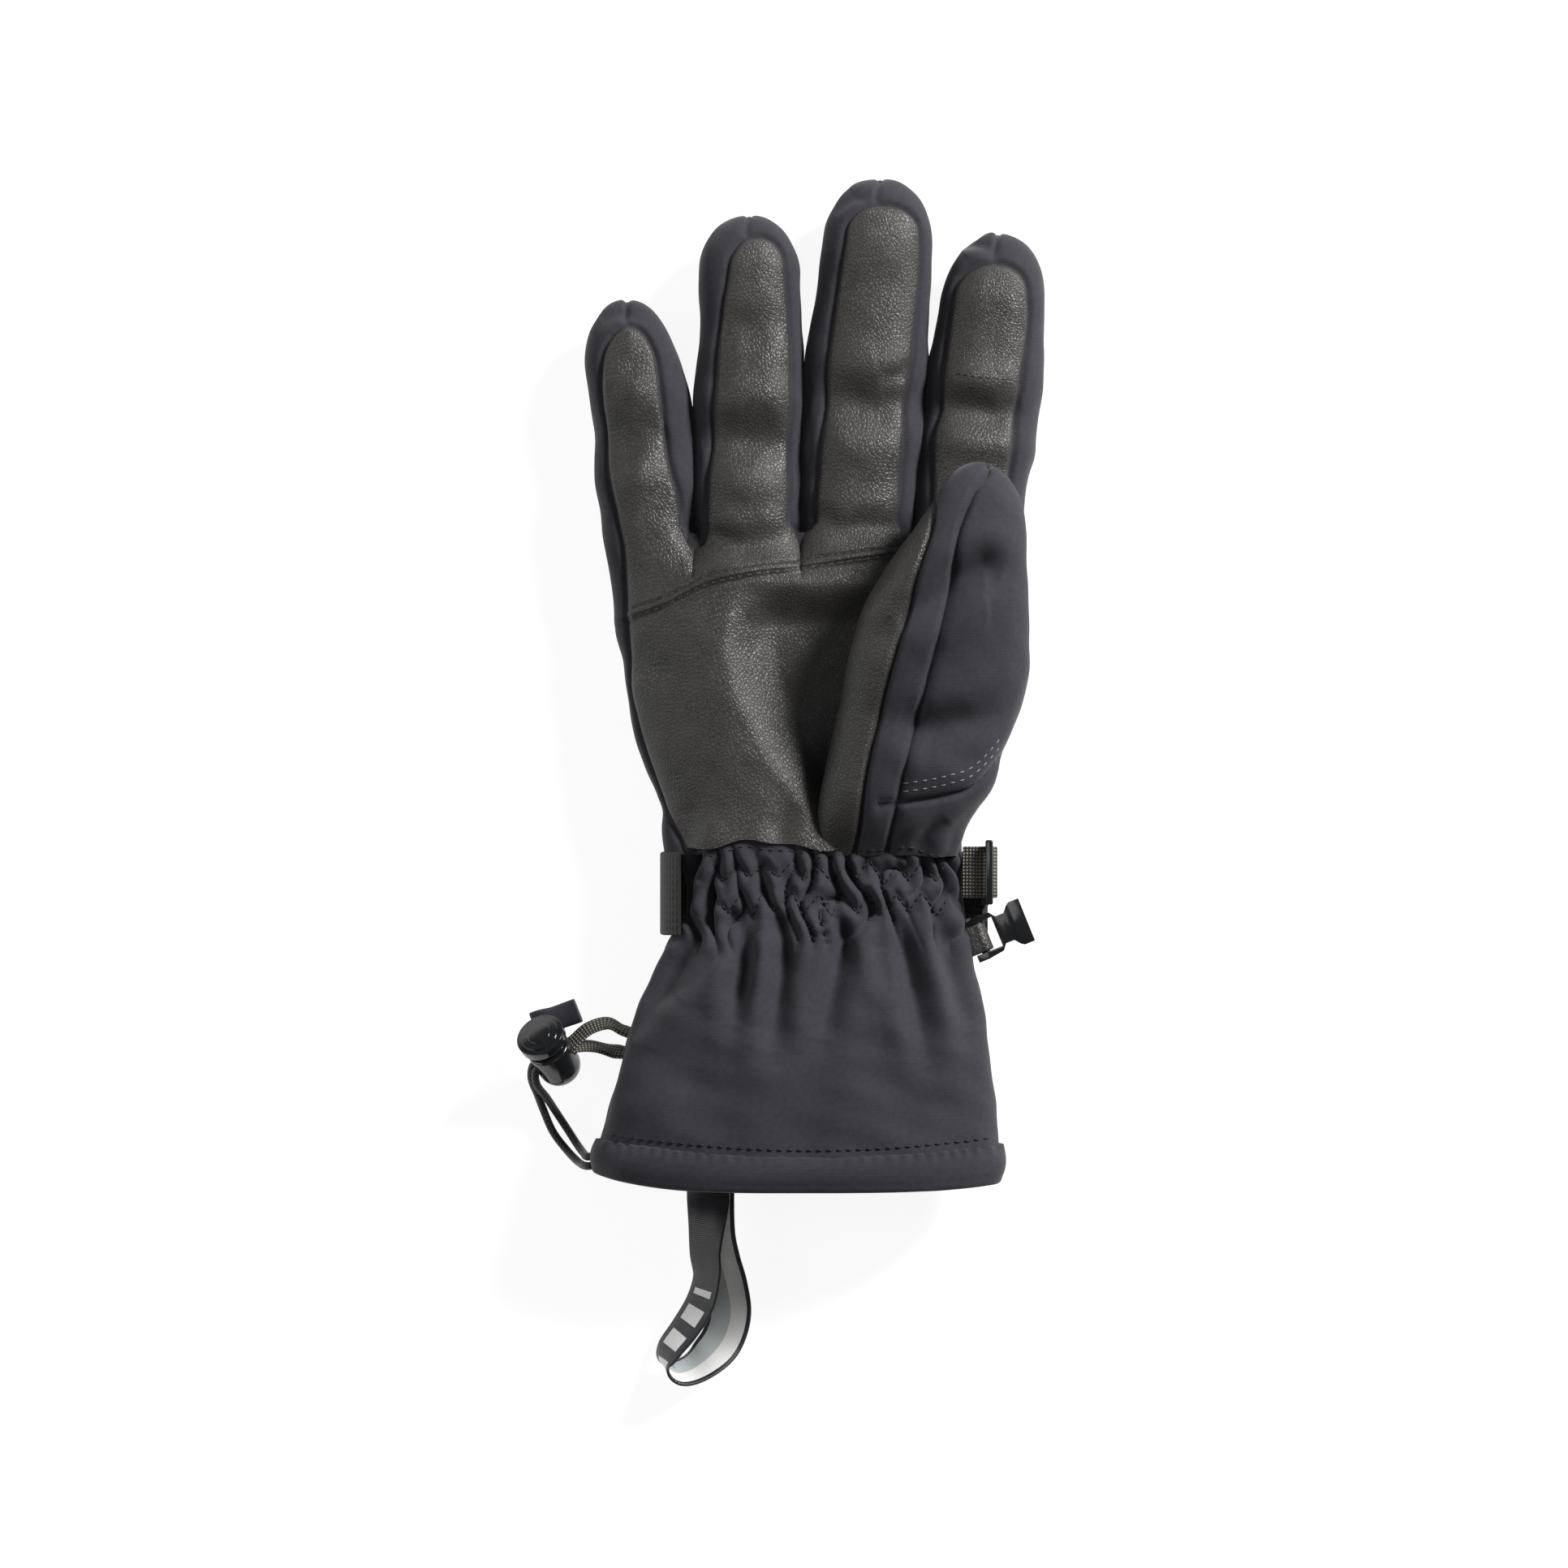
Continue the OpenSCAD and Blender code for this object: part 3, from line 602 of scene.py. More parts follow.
@dataclass(frozen=True)
class PrintedRibbon(Finish):
    """Satin polyester ribbon, woven with dark edges and plain blocks along its length."""

    pale: str = "#d9d8d6"
    # Painted shade: grey for one half of the ribbon's back.
    painted_shade_grey: str = "#a6abab"

    def make(self) -> bpy.types.Material:
        """Blocks, edge lines and a back half painted grey as shade, from the ribbon's UV: u across and v along, both
        in mm / 100.

        Returns:
            The material.
        """
        material, tree, shader, where = self.start()
        split = node(tree, "ShaderNodeSeparateXYZ", {}, {0: where})
        reverse = node(tree, "ShaderNodeMath", {".operation": "GREATER_THAN", 1: 0.5}, {0: split.outputs[0]})
        level = node(tree, "ShaderNodeMath", {".operation": "SUBTRACT"}, {0: split.outputs[0], 1: reverse.outputs[0]})
        across = node(tree, "ShaderNodeMath", {".operation": "ABSOLUTE"}, {0: level.outputs[0]})
        edge = node(tree, "ShaderNodeMath", {".operation": "GREATER_THAN", 1: 0.052}, {0: across.outputs[0]})
        inner = node(tree, "ShaderNodeMath", {".operation": "LESS_THAN", 1: 0.040}, {0: across.outputs[0]})
        phase = node(tree, "ShaderNodeMath", {".operation": "MULTIPLY", 1: 100 / 9.0}, {0: split.outputs[1]})
        turn = node(tree, "ShaderNodeMath", {".operation": "FRACT"}, {0: phase.outputs[0]})
        block = node(tree, "ShaderNodeMath", {".operation": "GREATER_THAN", 1: 0.42}, {0: turn.outputs[0]})
        plain = node(tree, "ShaderNodeMath", {".operation": "GREATER_THAN", 1: 0.52}, {0: split.outputs[1]})
        shown = node(tree, "ShaderNodeMath", {".operation": "MULTIPLY"}, {0: block.outputs[0], 1: inner.outputs[0]})
        printed = node(tree, "ShaderNodeMath", {".operation": "MULTIPLY"}, {0: shown.outputs[0], 1: plain.outputs[0]})
        front = node(tree, "ShaderNodeMix", {".data_type": "RGBA", 6: linear(self.colour), 7: linear(self.pale)},
                     {0: printed.outputs[0]})
        # Painted shade: one half of the back, along its length, is painted grey; the other half stays pale.
        unshaded_half = node(tree, "ShaderNodeMath", {".operation": "GREATER_THAN", 1: 0.004}, {0: level.outputs[0]})
        half_shaded_back = node(tree, "ShaderNodeMix", {".data_type": "RGBA", 6: linear(self.painted_shade_grey), 7: linear(self.pale)},
                     {0: unshaded_half.outputs[0]})
        back = node(tree, "ShaderNodeMix", {".data_type": "RGBA", 7: linear(self.colour)},
                    {0: edge.outputs[0], 6: half_shaded_back.outputs[2]})
        tint = node(tree, "ShaderNodeMix", {".data_type": "RGBA"},
                    {0: reverse.outputs[0], 6: back.outputs[2], 7: front.outputs[2]})
        tree.links.new(tint.outputs[2], shader.inputs["Base Color"])
        threads = node(tree, "ShaderNodeTexWave", {".bands_direction": "Y", "Scale": wave_scale(0.6)},
                       {"Vector": where})
        bump = node(tree, "ShaderNodeBump", {"Strength": 0.3, "Distance": 0.0002}, {"Height": threads.outputs["Fac"]})
        tree.links.new(bump.outputs[0], shader.inputs["Normal"])
        return material


# Palm and fingers: polyurethane leather pressed with a fine pebble. Cells give the pebbles and noise
# the uneven wear. It gives the eye soft satin highlights broken by dull pits.
LEATHER = PebbledLeather("pebbled_leather", "#3c3a38", roughness=0.45, specular=0.45, pebble_mm=1.05, depth=0.36)
# The index tip's conductive leather: the same cells, smaller, so it reads as a finer, flatter skin.
PATCH_LEATHER = PebbledLeather("touch_patch_leather", "#393735", roughness=0.46, pebble_mm=0.85, depth=0.36)
# Back, sides and cuff: brushed polyester softshell. Two crossed waves, coarser than the real threads,
# with slubs and fuzz. It gives a matt, slightly blue-grey cloth with a faint bloom at its edges.
SHELL = WovenShell("softshell_weave", "#313036", roughness=0.85, specular=0.25, sheen=0.12, space=Space.SURFACE)
# Wrist strap: polyester webbing of coarse glossy ribs. Crossed waves give rows of dark ribs.
TAPE = Webbing("woven_webbing", "#171614", roughness=0.6, space=Space.SURFACE)
# Tether and slider's anchor: webbing with pale flecks, from the same waves, finer and lighter.
DOTTED_TAPE = Webbing("flecked_webbing", "#161511", roughness=0.6, rib_mm=1.0, cross_mm=1.0, flecks="#8f8b7d",
                      space=Space.SURFACE)
# Lining: knitted polyester, brushed to a pile. Noise at the size of a tuft gives a dark, fluffy inside.
FLEECE = Fleece("brushed_fleece", "#2b2a2d", roughness=0.95, specular=0.2, sheen=0.3)
# Clip, slider and cord lock: acetal moulded in polished steel. A low roughness under a thin coat gives
# sharp small highlights, and noise a few duller handling marks.
ACETAL = MouldedAcetal("moulded_acetal", "#17181a", roughness=0.16)
# Drawcord: polyester braided over rubber. Diagonal waves both ways give helical strands.
CORD = BraidedCord("braided_elastic_cord", "#242422", roughness=0.45, space=Space.SURFACE)
# The same cord inside the hem, on its CAD solid, so its pattern follows the object and not a UV.
HEM_CORD = BraidedCord("hem_elastic_cord", "#242422", roughness=0.45)
# Sewing thread: black twisted polyester, too thin to need a pattern. It gives short dark dashes.
THREAD = Finish("sewing_thread", "#0c0c0e", roughness=0.6)
# Contrast thread of the thumb gusset: the same thread in grey, plain too.
PALE_THREAD = Finish("contrast_thread", "#7d7c82", roughness=0.6)
# The cord lock's spring: drawn steel wire, a plain pale grey, hidden in the barrel.
STEEL = Finish("spring_steel", "#8a8a8c", roughness=0.3)
# Leash: satin ribbon woven with dark edges. Its UV gives plain pale blocks, and a back with one half of its width
# painted grey as shade.
RIBBON = PrintedRibbon("block_ribbon", "#1b1c22", roughness=0.4, specular=0.5, space=Space.SURFACE)


# ---- Bodies ----


@dataclass(frozen=True)
class Bend:
    """How a piece follows the frame: it rides on one body, or, given the start and end of a bend, on none."""

    body: str = "glove"
    start: tuple[float, float, float] | None = None
    end: tuple[float, float, float] | None = None

    def attach(self, obj: bpy.types.Object) -> bpy.types.Object:
        """Rides the object on its body; given a start and end, only bakes its transform and leaves it on no body."""
        if self.start is None or self.end is None:
            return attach(obj, self.body)
        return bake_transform(obj, "glove", self.body, start=tuple(metres(self.start)), end=tuple(metres(self.end)))


GLOVE = Bend()


@dataclass
class Stitching:
    """Rows of short thread stitches laid on finished surfaces."""

    surfaces: list[bpy.types.Object]
    tree: BVHTree = field(init=False)

    def __post_init__(self) -> None:
        """Gathers the surfaces into one search tree."""
        verts: list = []
        faces: list = []
        for obj in self.surfaces:
            base = len(verts)
            verts += [v.co.copy() for v in obj.data.vertices]
            faces += [tuple(base + i for i in p.vertices) for p in obj.data.polygons]
        self.tree = BVHTree.FromPolygons(verts, faces)

    def drop(self, x: float, y: float) -> tuple[Array, Array] | None:
        """The highest surface point over (x, y) and its normal, in mm, or None off the surface."""
        start = Vector(metres((x, y, 90.0)).tolist())
        place, normal, _, _ = self.tree.ray_cast(start, Vector((0, 0, -1)))
        if place is None:
            return None
        return np.array(place) * 1000 + ORIGIN, np.array(normal)

    def row(self, name: str, line: Sequence[tuple[float, float]], finish: Finish, bend: Bend = GLOVE,
            length: float = 2.2, gap: float = 0.9, width: float = 0.5, lift: float = 0.05) -> bpy.types.Object:
        """One row of stitches along a line in plan.

        Args:
            name: Name of the piece.
            line: Points in mm.
            finish: The thread.
            bend: What it follows.
            length: Length of a stitch.
            gap: Space between stitches.
            width: Thickness of the thread.
            lift: Height of the thread's middle over the surface.

        Returns:
            The row as one object.
        """
        pts = np.array(line, float)
        runs = np.concatenate([[0], np.linalg.norm(np.diff(pts, axis=0), axis=1).cumsum()])
        verts: list = []
        faces: list = []
        at = gap / 2
        while at + length < runs[-1]:
            ends = [[np.interp(s, runs, pts[:, i]) for i in (0, 1)] for s in (at, at + length / 2, at + length)]
            found = [self.drop(*e) for e in ends]
            at += length + gap
            if any(f is None for f in found):
                continue
            a, m, b = (f[0] + f[1] * lift for f in found)
            if abs(a[2] - b[2]) > 3 * length:
                continue
            up = found[1][1]
            ahead = (b - a) / max(np.linalg.norm(b - a), 1e-6)
            side = np.cross(ahead, up)
            base = len(verts)
            for p, r, drop in ((a, 0.35, -0.25), ((a + m) / 2, 1.0, 0.1), ((m + b) / 2, 1.0, 0.1), (b, 0.35, -0.25)):
                for k in range(6):
                    t = math.tau * k / 6
                    verts.append(p + up * drop * width + width / 2 * r * (side * math.cos(t) + up * math.sin(t)))
            for j in range(3):
                for k in range(6):
                    n = (k + 1) % 6
                    faces.append((base + j * 6 + k, base + j * 6 + n, base + (j + 1) * 6 + n, base + (j + 1) * 6 + k))
            faces.append(tuple(base + k for k in range(5, -1, -1)))
            faces.append(tuple(base + 18 + k for k in range(6)))
        obj = mesh_object(name, np.array(verts), faces)
        bm = bmesh.new()
        bm.from_mesh(obj.data)
        bmesh.ops.recalc_face_normals(bm, faces=bm.faces)
        bm.to_mesh(obj.data)
        bm.free()
        finish.dress(obj)
        bend.attach(obj)
        LOG.info("stitches %s: %d", name, len(faces) // 20)
        return obj


# ---- Soft pieces ----

Relief = Callable[[Array, Array], Array]


def dense(points: object, step: float = 0.4) -> Array:
    """A polyline resampled at even steps in mm."""
    pts = np.asarray(points, float)
    runs = np.concatenate([[0], np.linalg.norm(np.diff(pts, axis=0), axis=1).cumsum()])
    at = np.linspace(0, runs[-1], max(2, int(runs[-1] / step) + 1))
    return np.stack([np.interp(at, runs, pts[:, i]) for i in range(pts.shape[1])], -1)


class Seams:
    """Seam lines in space, asked how near a point is."""

    def __init__(self, lines: Sequence[Array]) -> None:
        """Stores every line as closely spaced points."""
        pts = np.concatenate([dense(line) for line in lines])
        self.tree = KDTree(len(pts))
        for i, p in enumerate(pts):
            self.tree.insert(p, i)
        self.tree.balance()

    def distance(self, points: Array) -> Array:
        """Distance in mm from each point to the nearest seam."""
        flat = points.reshape(-1, 3)
        return np.array([self.tree.find(p)[2] for p in flat]).reshape(points.shape[:-1])


@dataclass
class Skin:
    """A form with its relief and seams, from which the panels of one part are cut."""

    form: Form
    relief: Relief
    seams: Seams
    bend: Bend = GLOVE
    palm_side: bool = True

    def surface(self, base: Array, n: Array, angle: Array | None, offset: float, puff: float, dive: float,
                cover: Callable[[Array], Array] | None = None) -> Array:
        """Moves base points by the relief, puffed between seams and tucked in at them.

        Args:
            base: Points in mm.
            n: Directions to move them in.
            angle: Angles of the points, to keep the relief to the palm side.
            offset: Height over the base.
            puff: Extra height in the middle of a panel.
            dive: How deep it goes at a seam.
            cover: 1 where another panel covers this one, which then stays below.

        Returns:
            The finished points.
        """
        near = self.seams.distance(base)
        side = 1.0 if angle is None else ease(-0.25, 0.35, np.sin(np.radians(angle)))
        d = offset + self.relief(base[..., 0], base[..., 1]) * side
        d = d + 0.22 * lumps(base, 26, 3) + 0.1 * lumps(base, 9, 4)
        d += puff * (1 - np.exp(-near / 4.5)) - dive * np.exp(-((near / 0.9) ** 2))
        if cover is not None:
            d -= 2.4 * cover(base) * (1 - np.exp(-((near / 1.3) ** 2)))
        out = base + n * d[..., None]
        out[..., 2] = np.maximum(out[..., 2], LOWEST)
        return out

    def tube(self, name: str, y0: float, y1: float, finish: Finish, rows: int, cols: int,
             span: tuple[float, float] = (0, 360), offset: float = 0.0, puff: float = 0.5, dive: float = 1.0,
             cover: Callable[[Array], Array] | None = None, shape: Callable[[Array], Array] | None = None,
             inward: bool = False, depth: float = 0.0,
             tuck: Callable[[Array], Array] | None = None) -> bpy.types.Object:
        """A tube, or part of one, closed at the form's tip if it reaches it.

        Args:
            name: Name of the piece.
            y0: First height.
            y1: Last height.
            finish: Its material.
            rows: Points along it.
            cols: Points round it.
            span: First and last angle.
            offset: Height over the form.
            puff: Extra height between seams.
            dive: Depth at seams.
            cover: Where another panel covers it.
            shape: Changes the base points before the relief.
            inward: True for a lining, which faces inwards.
            depth: How far inside the form it lies.
            tuck: Depth over height by which its back goes under the neighbouring panel.

        Returns:
            The finished panel.
        """
        t = np.linspace(0, 1, rows)
        tip = y1 >= self.form.tip - 1e-6
        ys = y0 + (y1 - depth * tip - y0) * (np.sin(t * np.pi / 2) if tip else t)
        closed = span[1] - span[0] >= 360
        y, angle = np.meshgrid(ys, np.linspace(*span, cols, endpoint=not closed), indexing="ij")
        base = self.form.point(y, angle, depth)
        if shape is not None:
            base = shape(base)
        n = normals(base, closed)
        grid = self.surface(base, n, angle, offset, puff, dive, cover)
        if tuck is not None:
            behind = 1 - ease(-0.3, 0.3, np.sin(np.radians(angle)))
            grid = grid - n * (tuck(y) * behind)[..., None]
        if inward:
            grid = grid[:, ::-1]
        obj = grid_object(name, grid, closed)
        return self.bend.attach(finish.dress(obj))

    def sheet(self, name: str, base: Array, n: Array, finish: Finish, offset: float = 0.3, puff: float = 0.8,
              dive: float = 1.5) -> bpy.types.Object:
        """A panel over given base points."""
        obj = grid_object(name, self.surface(base, n, None, offset, puff, dive))
        return self.bend.attach(finish.dress(obj))


PALM = Form(
    ((-4, -43), (5, -43.6), (10, -43.6), (14.4, -45.4), (24, -49.2), (33.6, -52.3), (43, -54), (53, -55.4),
     (62, -57.3), (72, -58.1), (82, -59.8), (91, -61.4), (100, -62.2)),
    ((-4, 43), (5, 44), (14, 49), (24, 52), (34, 54.5), (53, 57), (72, 59), (91, 61.5), (100, 62.3)),
    ((0, 15), (34, 17), (60, 16.5), (94, 13.6)), ((0, 3.2), (20, -1.2), (94, -1.2)))
WRIST = Form(((-22, -36.8), (-12, -37.6), (0, -41.5)), ((-22, 45.2), (-10, 44.4), (0, 44)),
             ((-22, 15.5), (0, 15)), ((-22, 3.2), (0, 3.2)))
CUFF = Form(
    ((-103, -66), (-96, -65), (-88, -62.8), (-76, -60), (-66, -56.4), (-58, -54.4), (-48, -51.6), (-38, -46.8),
     (-30, -42.5), (-22, -37)),
    ((-103, 56.5), (-88, 54.8), (-76, 54), (-60, 52.2), (-48, 50.6), (-38, 47.8), (-30, 46.4), (-22, 45.2)),
    ((-102, 21), (-88, 20.5), (-22, 15.5)), ((-102, 0.4), (-88, 0.2), (-36, 2.4), (-22, 3.2)))
STRAP = Form(((-31, -43.3), (-2, -43.2)), ((-31, 50.5), (-2, 51.2)), ((-31, 17.4),), ((-31, -0.6),))
LITTLE = Form(
    ((90, -61.5), (105, -62.9), (120, -64.1), (134, -65.8), (144, -66.6), (161, -66.8)),
    ((94, -35), (125, -35.1), (130, -35.9), (135, -37.1), (144, -39.6), (161, -42.5)),
    ((94, 12.6), (161, 11.6)), ((94, -1.2), (161, -0.6)), 160.8, 20)
RING = Form(
    ((94, -34.6), (125, -34.7), (134, -34.2), (150, -33), (165, -32.9), (186, -32.5)),
    ((94, -3.4), (125, -2.5), (134, -2.4), (140, -2.7), (154, -3.4), (165, -3.8), (186, -4.5)),
    ((94, 13.2), (186, 12.2)), ((94, -1.2), (186, -0.6)), 186, 18)
MIDDLE = Form(
    ((94, -3.2), (125, -2.7), (134, -2.4), (140, -1.9), (149, -0.7), (158, 1), (168, 2.6), (178, 3.4), (197, 4.6)),
    ((94, 30.2), (110, 31.2), (125, 33), (140, 33.8), (155, 34.3), (170, 34.8), (197, 36)),
    ((94, 13.4), (197, 12.6)), ((94, -1.2), (197, -0.6)), 196.8, 20)
INDEX = Form(
    ((94, 30.6), (110, 31.6), (125, 33.4), (139, 34.6), (150, 36.4), (160, 38.4), (168, 39.6), (181, 41)),
    ((94, 62), (100, 62.4), (110, 64), (115, 65.5), (120, 66), (130, 67.4), (139, 68.2), (155, 68.4), (163, 68.6),
     (181, 69.5)),
    ((94, 13.2), (181, 12.4)), ((94, -1.2), (181, -0.6)), 180.7, 21)
THUMB = Form(
    ((-3, 0.2), (0, 1.2), (10, 2.4), (33.6, 7.2), (50, 10.8), (67, 14.8), (84, 24.5), (93.6, 31.5), (101, 34.5),
     (112, 36)),
    ((-3, 42), (5, 45), (15.6, 51.6), (28.8, 56.4), (40.8, 61.2), (62.4, 62.9), (81.6, 62), (101, 62), (112, 61.5)),
    ((-3, 9), (4, 11.5), (40, 14.5), (84, 13), (112, 12.6)),
    ((-3, 15.5), (4, 16), (40, 19), (67, 25.5), (84, 28), (112, 28.5)), 112, 22)


@dataclass(frozen=True)
class FingerPattern:
    """One finger: its name, form, leather inset, where it bends and its body in the frame."""

    name: str
    form: Form
    leather: Patch
    knuckle: float
    body: str


FINGERS = (
    FingerPattern("little", LITTLE,
                  Patch(((86.4, -56.4), (97, -57.8), (126, -62), (140, -62.2), (152, -61)),
                        ((93.6, -37.5), (97, -38), (111.6, -41.6), (126, -43.5), (145.7, -46), (152, -47)), 153, 11),
                  114, "little finger"),
    FingerPattern("ring", RING,
                  Patch(((97, -31.2), (116.3, -30.2), (130.6, -28.8), (149.5, -27.9), (173, -24.4), (179, -24)),
                        ((97, -6.5), (159, -6.5), (171.4, -7.6), (179, -8)), 179.6, 9), 119, "ring finger"),
    FingerPattern("middle", MIDDLE,
                  Patch(((97, 0.8), (121, 2.9), (140, 4.3), (163.7, 7.2), (180.8, 9.9), (188, 10)),
                        ((97, 26.2), (125.8, 27.6), (144.7, 30), (168.5, 32.2), (185.5, 32)), 189, 9),
                  125, "middle finger"),
    FingerPattern("index", INDEX,
                  Patch(((97, 35.4), (121, 36.1), (135.4, 38.4), (149.5, 39.8), (164.6, 42.2), (171, 43)),
                        ((97, 57.6), (111.6, 58.8), (135.4, 61.7), (155.3, 64.4), (164.6, 64)), 171.6, 9),
                  120, "index finger"),
)
NOTCHES = ((-34.4, 92.0), (-3.2, 97.0), (30.6, 96.0))
LEATHER_LEFT: Table = ((-3, -37), (6.1, -40.8), (20.4, -46.4), (41.3, -52.6), (67.8, -54.5), (91.4, -56.6),
                       (97, -57.8))
LEATHER_RIGHT: Table = ((-3, 36), (20, 44), (60, 53), (90, 56.6), (97, 57.6))
PALM_SEAM: Table = ((-60, 63.6), (-54, 66), (-43.5, 69.7), (-32.2, 75.4), (-19, 78.7), (-3.7, 80.6), (9.6, 82.6),
                    (23.8, 84.5), (56, 86))
SPLIT_Y = 97.0  # where the palm's leather becomes the fingers'
TOUCH_SEAM_Y = 137.6  # where the index finger's touch patch begins


def form_top(form: Form, x: Array, y: Array) -> Array:
    """Height of a form's palm side over plan points, its middle height outside its outline."""
    k = form.closing(y)
    q = np.clip(np.abs(x - form.centre(y)) / (k * form.half(y) + 1e-6), 0, 1)
    hh = smooth(form.half_height, y)
    return smooth(form.low, y) + hh + k * hh * (1 - q**form.fullness) ** (1 / form.fullness)


def palm_height(x: Array, y: Array) -> Array:
    """Height of the hand's palm side: one palm that divides into four fingers at the crotches."""
    fingers = np.max([form_top(f.form, x, y) for f in FINGERS], axis=0)
    s = ease(76, 95, y)
    return (1 - s) * form_top(PALM, x, y) + s * fingers


def hand_shape(base: Array) -> Array:
    """Divides the hand's tube into four fingers towards its far end, front and back alike.

    Args:
        base: Points on the palm's form.

    Returns:
        The points in their new places.
    """
    x, y, z = base[..., 0], base[..., 1], base[..., 2]
    s = ease(76, 95, y)
    middle = smooth(PALM.low, y) + smooth(PALM.half_height, y)
    top = np.max([form_top(f.form, x, y) for f in FINGERS], axis=0)
    full = np.maximum(form_top(PALM, x, y) - middle, 1e-6)
    upper = middle + (z - middle) / full * (top - 12.2)
    out = base.copy()
    lower = middle - (middle - z) / full * (top - 12.2)
    out[..., 2] = (1 - s) * z + s * np.where(z > middle, upper, lower)
    return out


CREASES = (
    Crease(((-33, 117), (-25, 119), (-15, 119), (-5, 116)), 2.9, 6.2, 0.5),
    Crease(((-28, 156), (-18, 152), (-8, 156)), 0.8, 5.0),
    Crease(((0, 132), (10, 130), (20, 129), (33, 133)), 2.7, 6.2, 0.5),
    Crease(((30, 143), (27, 139), (20, 137)), 0.8, 2.2),
    Crease(((5, 164), (18, 166), (31, 163)), 0.8, 5.5),
    Crease(((35, 130), (44, 128), (54, 127), (63, 129)), 2.7, 5.0, 0.5),
    Crease(((-64, 126), (-54, 119), (-42, 124)), 1.9, 6.4, 0.5),
    Crease(((-61, 146), (-53, 143), (-46, 147)), 0.8, 4.6),
    Crease(((-46, 100), (-43, 110), (-42, 124)), 1.0, 3.6),
    Crease(((-37, 97), (-31, 90), (-20, 88), (-6, 91)), 1.5, 3.6),
    Crease(((-4, 99), (8, 93), (24, 94), (30, 98)), 1.3, 3.6),
    Crease(((-57, 58), (-50, 53), (-40, 48)), 0.7, 4.0),
    Crease(((7, 34), (5, 16), (7, 1)), 2.2, 4.2),
    Crease(((-34, 12), (-36, 4), (-37, -3)), 1.2, 3.0),
    Crease(((-4, 12), (-9, 5), (-10, -3)), 0.9, 3.0),
    Crease(((39, 171), (44, 178), (51, 177), (55, 174)), 1.3, 2.0),
    Crease(((6, 186), (12, 191), (19, 190)), 0.9, 1.8),
    Crease(((-62, 154), (-57, 157), (-50, 155)), 0.8, 1.8),
)


def hand_relief(x: Array, y: Array) -> Array:
    """Creases and hollows of the palm side: the palm is cupped beside the thumb.

    Args:
        x: Plan points' x in mm.
        y: Plan points' y in mm.

    Returns:
        Heights in mm.
    """
    total = sum(c.relief(x, y) for c in CREASES)
    bank = smooth(((0, 6), (14, 0), (28, -8), (43, -15), (60, -19), (72, -16)), y)
    hollow = ease(-8, 9, x - bank) * ease(78, 64, y) * ease(-2, 26, y)
    seam = y - smooth(PALM_SEAM, x)
    ridge = 0.7 * np.exp(-(((seam - 1.7) / 2.2) ** 2)) - 0.8 * np.exp(-(((seam + 0.5) / 0.6) ** 2))
    ridge -= 0.5 * np.exp(-(((seam - 3.1) / 0.5) ** 2)) + 0.4 * np.exp(-(((seam - 0.7) / 0.4) ** 2))
    ridge = ridge * ease(-60, -54, x) * ease(60, 52, x) * (np.abs(y - 76) < 24)
    heel = 2.4 * np.exp(-(((x + 27) / 13) ** 2) - ((y - 42) / 30) ** 2)
    return total - 7.5 * hollow + ridge + heel


def hand_seams() -> Seams:
    """Outlines of the leather on the palm side and of the back's panels.

    Returns:
        The seams.
    """
    lines = []
    ys = np.linspace(-3, SPLIT_Y, 90)
    x = smooth(LEATHER_LEFT, ys)
    lines.append(np.stack([x, ys, palm_height(x, ys)], -1))
    x = smooth(LEATHER_RIGHT, ys)
    lines.append(np.stack([x, ys, palm_height(x, ys)], -1))
    for f in FINGERS:
        ys = np.concatenate([np.linspace(SPLIT_Y, f.leather.top - 12, 60),
                             f.leather.top - 12 * (1 - np.sin(np.linspace(0, np.pi / 2, 50)))])
        left, right = f.leather.edges(ys)
        for x in (left, right):
            lines.append(np.stack([x, ys, palm_height(x, ys)], -1))
        end = np.linspace(f.leather.top, f.form.tip, 60)
        lines.append(f.form.point(end, 92))
        for a in (226, 314):
            lines.append(f.form.point(np.linspace(90, f.form.tip, 90), a))
    for i, (_, yc) in enumerate(NOTCHES):
        a = smooth(FINGERS[i].leather.right, SPLIT_Y)
        b = smooth(FINGERS[i + 1].leather.left, SPLIT_Y)
        t = np.linspace(-1, 1, 30)
        x = (a + b) / 2 + (b - a) / 2 * t
        y = SPLIT_Y - (SPLIT_Y + 4 - yc) * np.sqrt(1 - np.abs(t) ** 2.5)
        lines.append(np.stack([x, y, palm_height(x, y)], -1))
    for a in (226, 314):
        lines.append(PALM.point(np.linspace(-2, 96, 90), a))
    return Seams(lines)


def palm_seam(x: Array) -> Array:
    """y of the palm's double-stitched seam."""
    return smooth(PALM_SEAM, x)


def wrist_edge(x: Array, middle: float = -0.2) -> Array:
    """y of a line that waves with the gathered wrist about a middle height."""
    return middle - 1.3 * np.sin(x / 6.3 + 1) - 0.5 * np.sin(x / 2.6)


def notch_edge(x: Array) -> Array:
    """Upper edge of the palm's leather, which dips between the fingers.

    Args:
        x: Plan points' x in mm.

    Returns:
        y of the edge.
    """
    y = np.full(x.shape, SPLIT_Y)
    for i, (_, yc) in enumerate(NOTCHES):
        a = float(smooth(FINGERS[i].leather.right, SPLIT_Y))
        b = float(smooth(FINGERS[i + 1].leather.left, SPLIT_Y))
        t = np.clip(np.abs(x - (a + b) / 2) / ((b - a) / 2), 0, 1)
        y -= (SPLIT_Y + 4 - yc) * np.sqrt(1 - t**2.5)
    return y


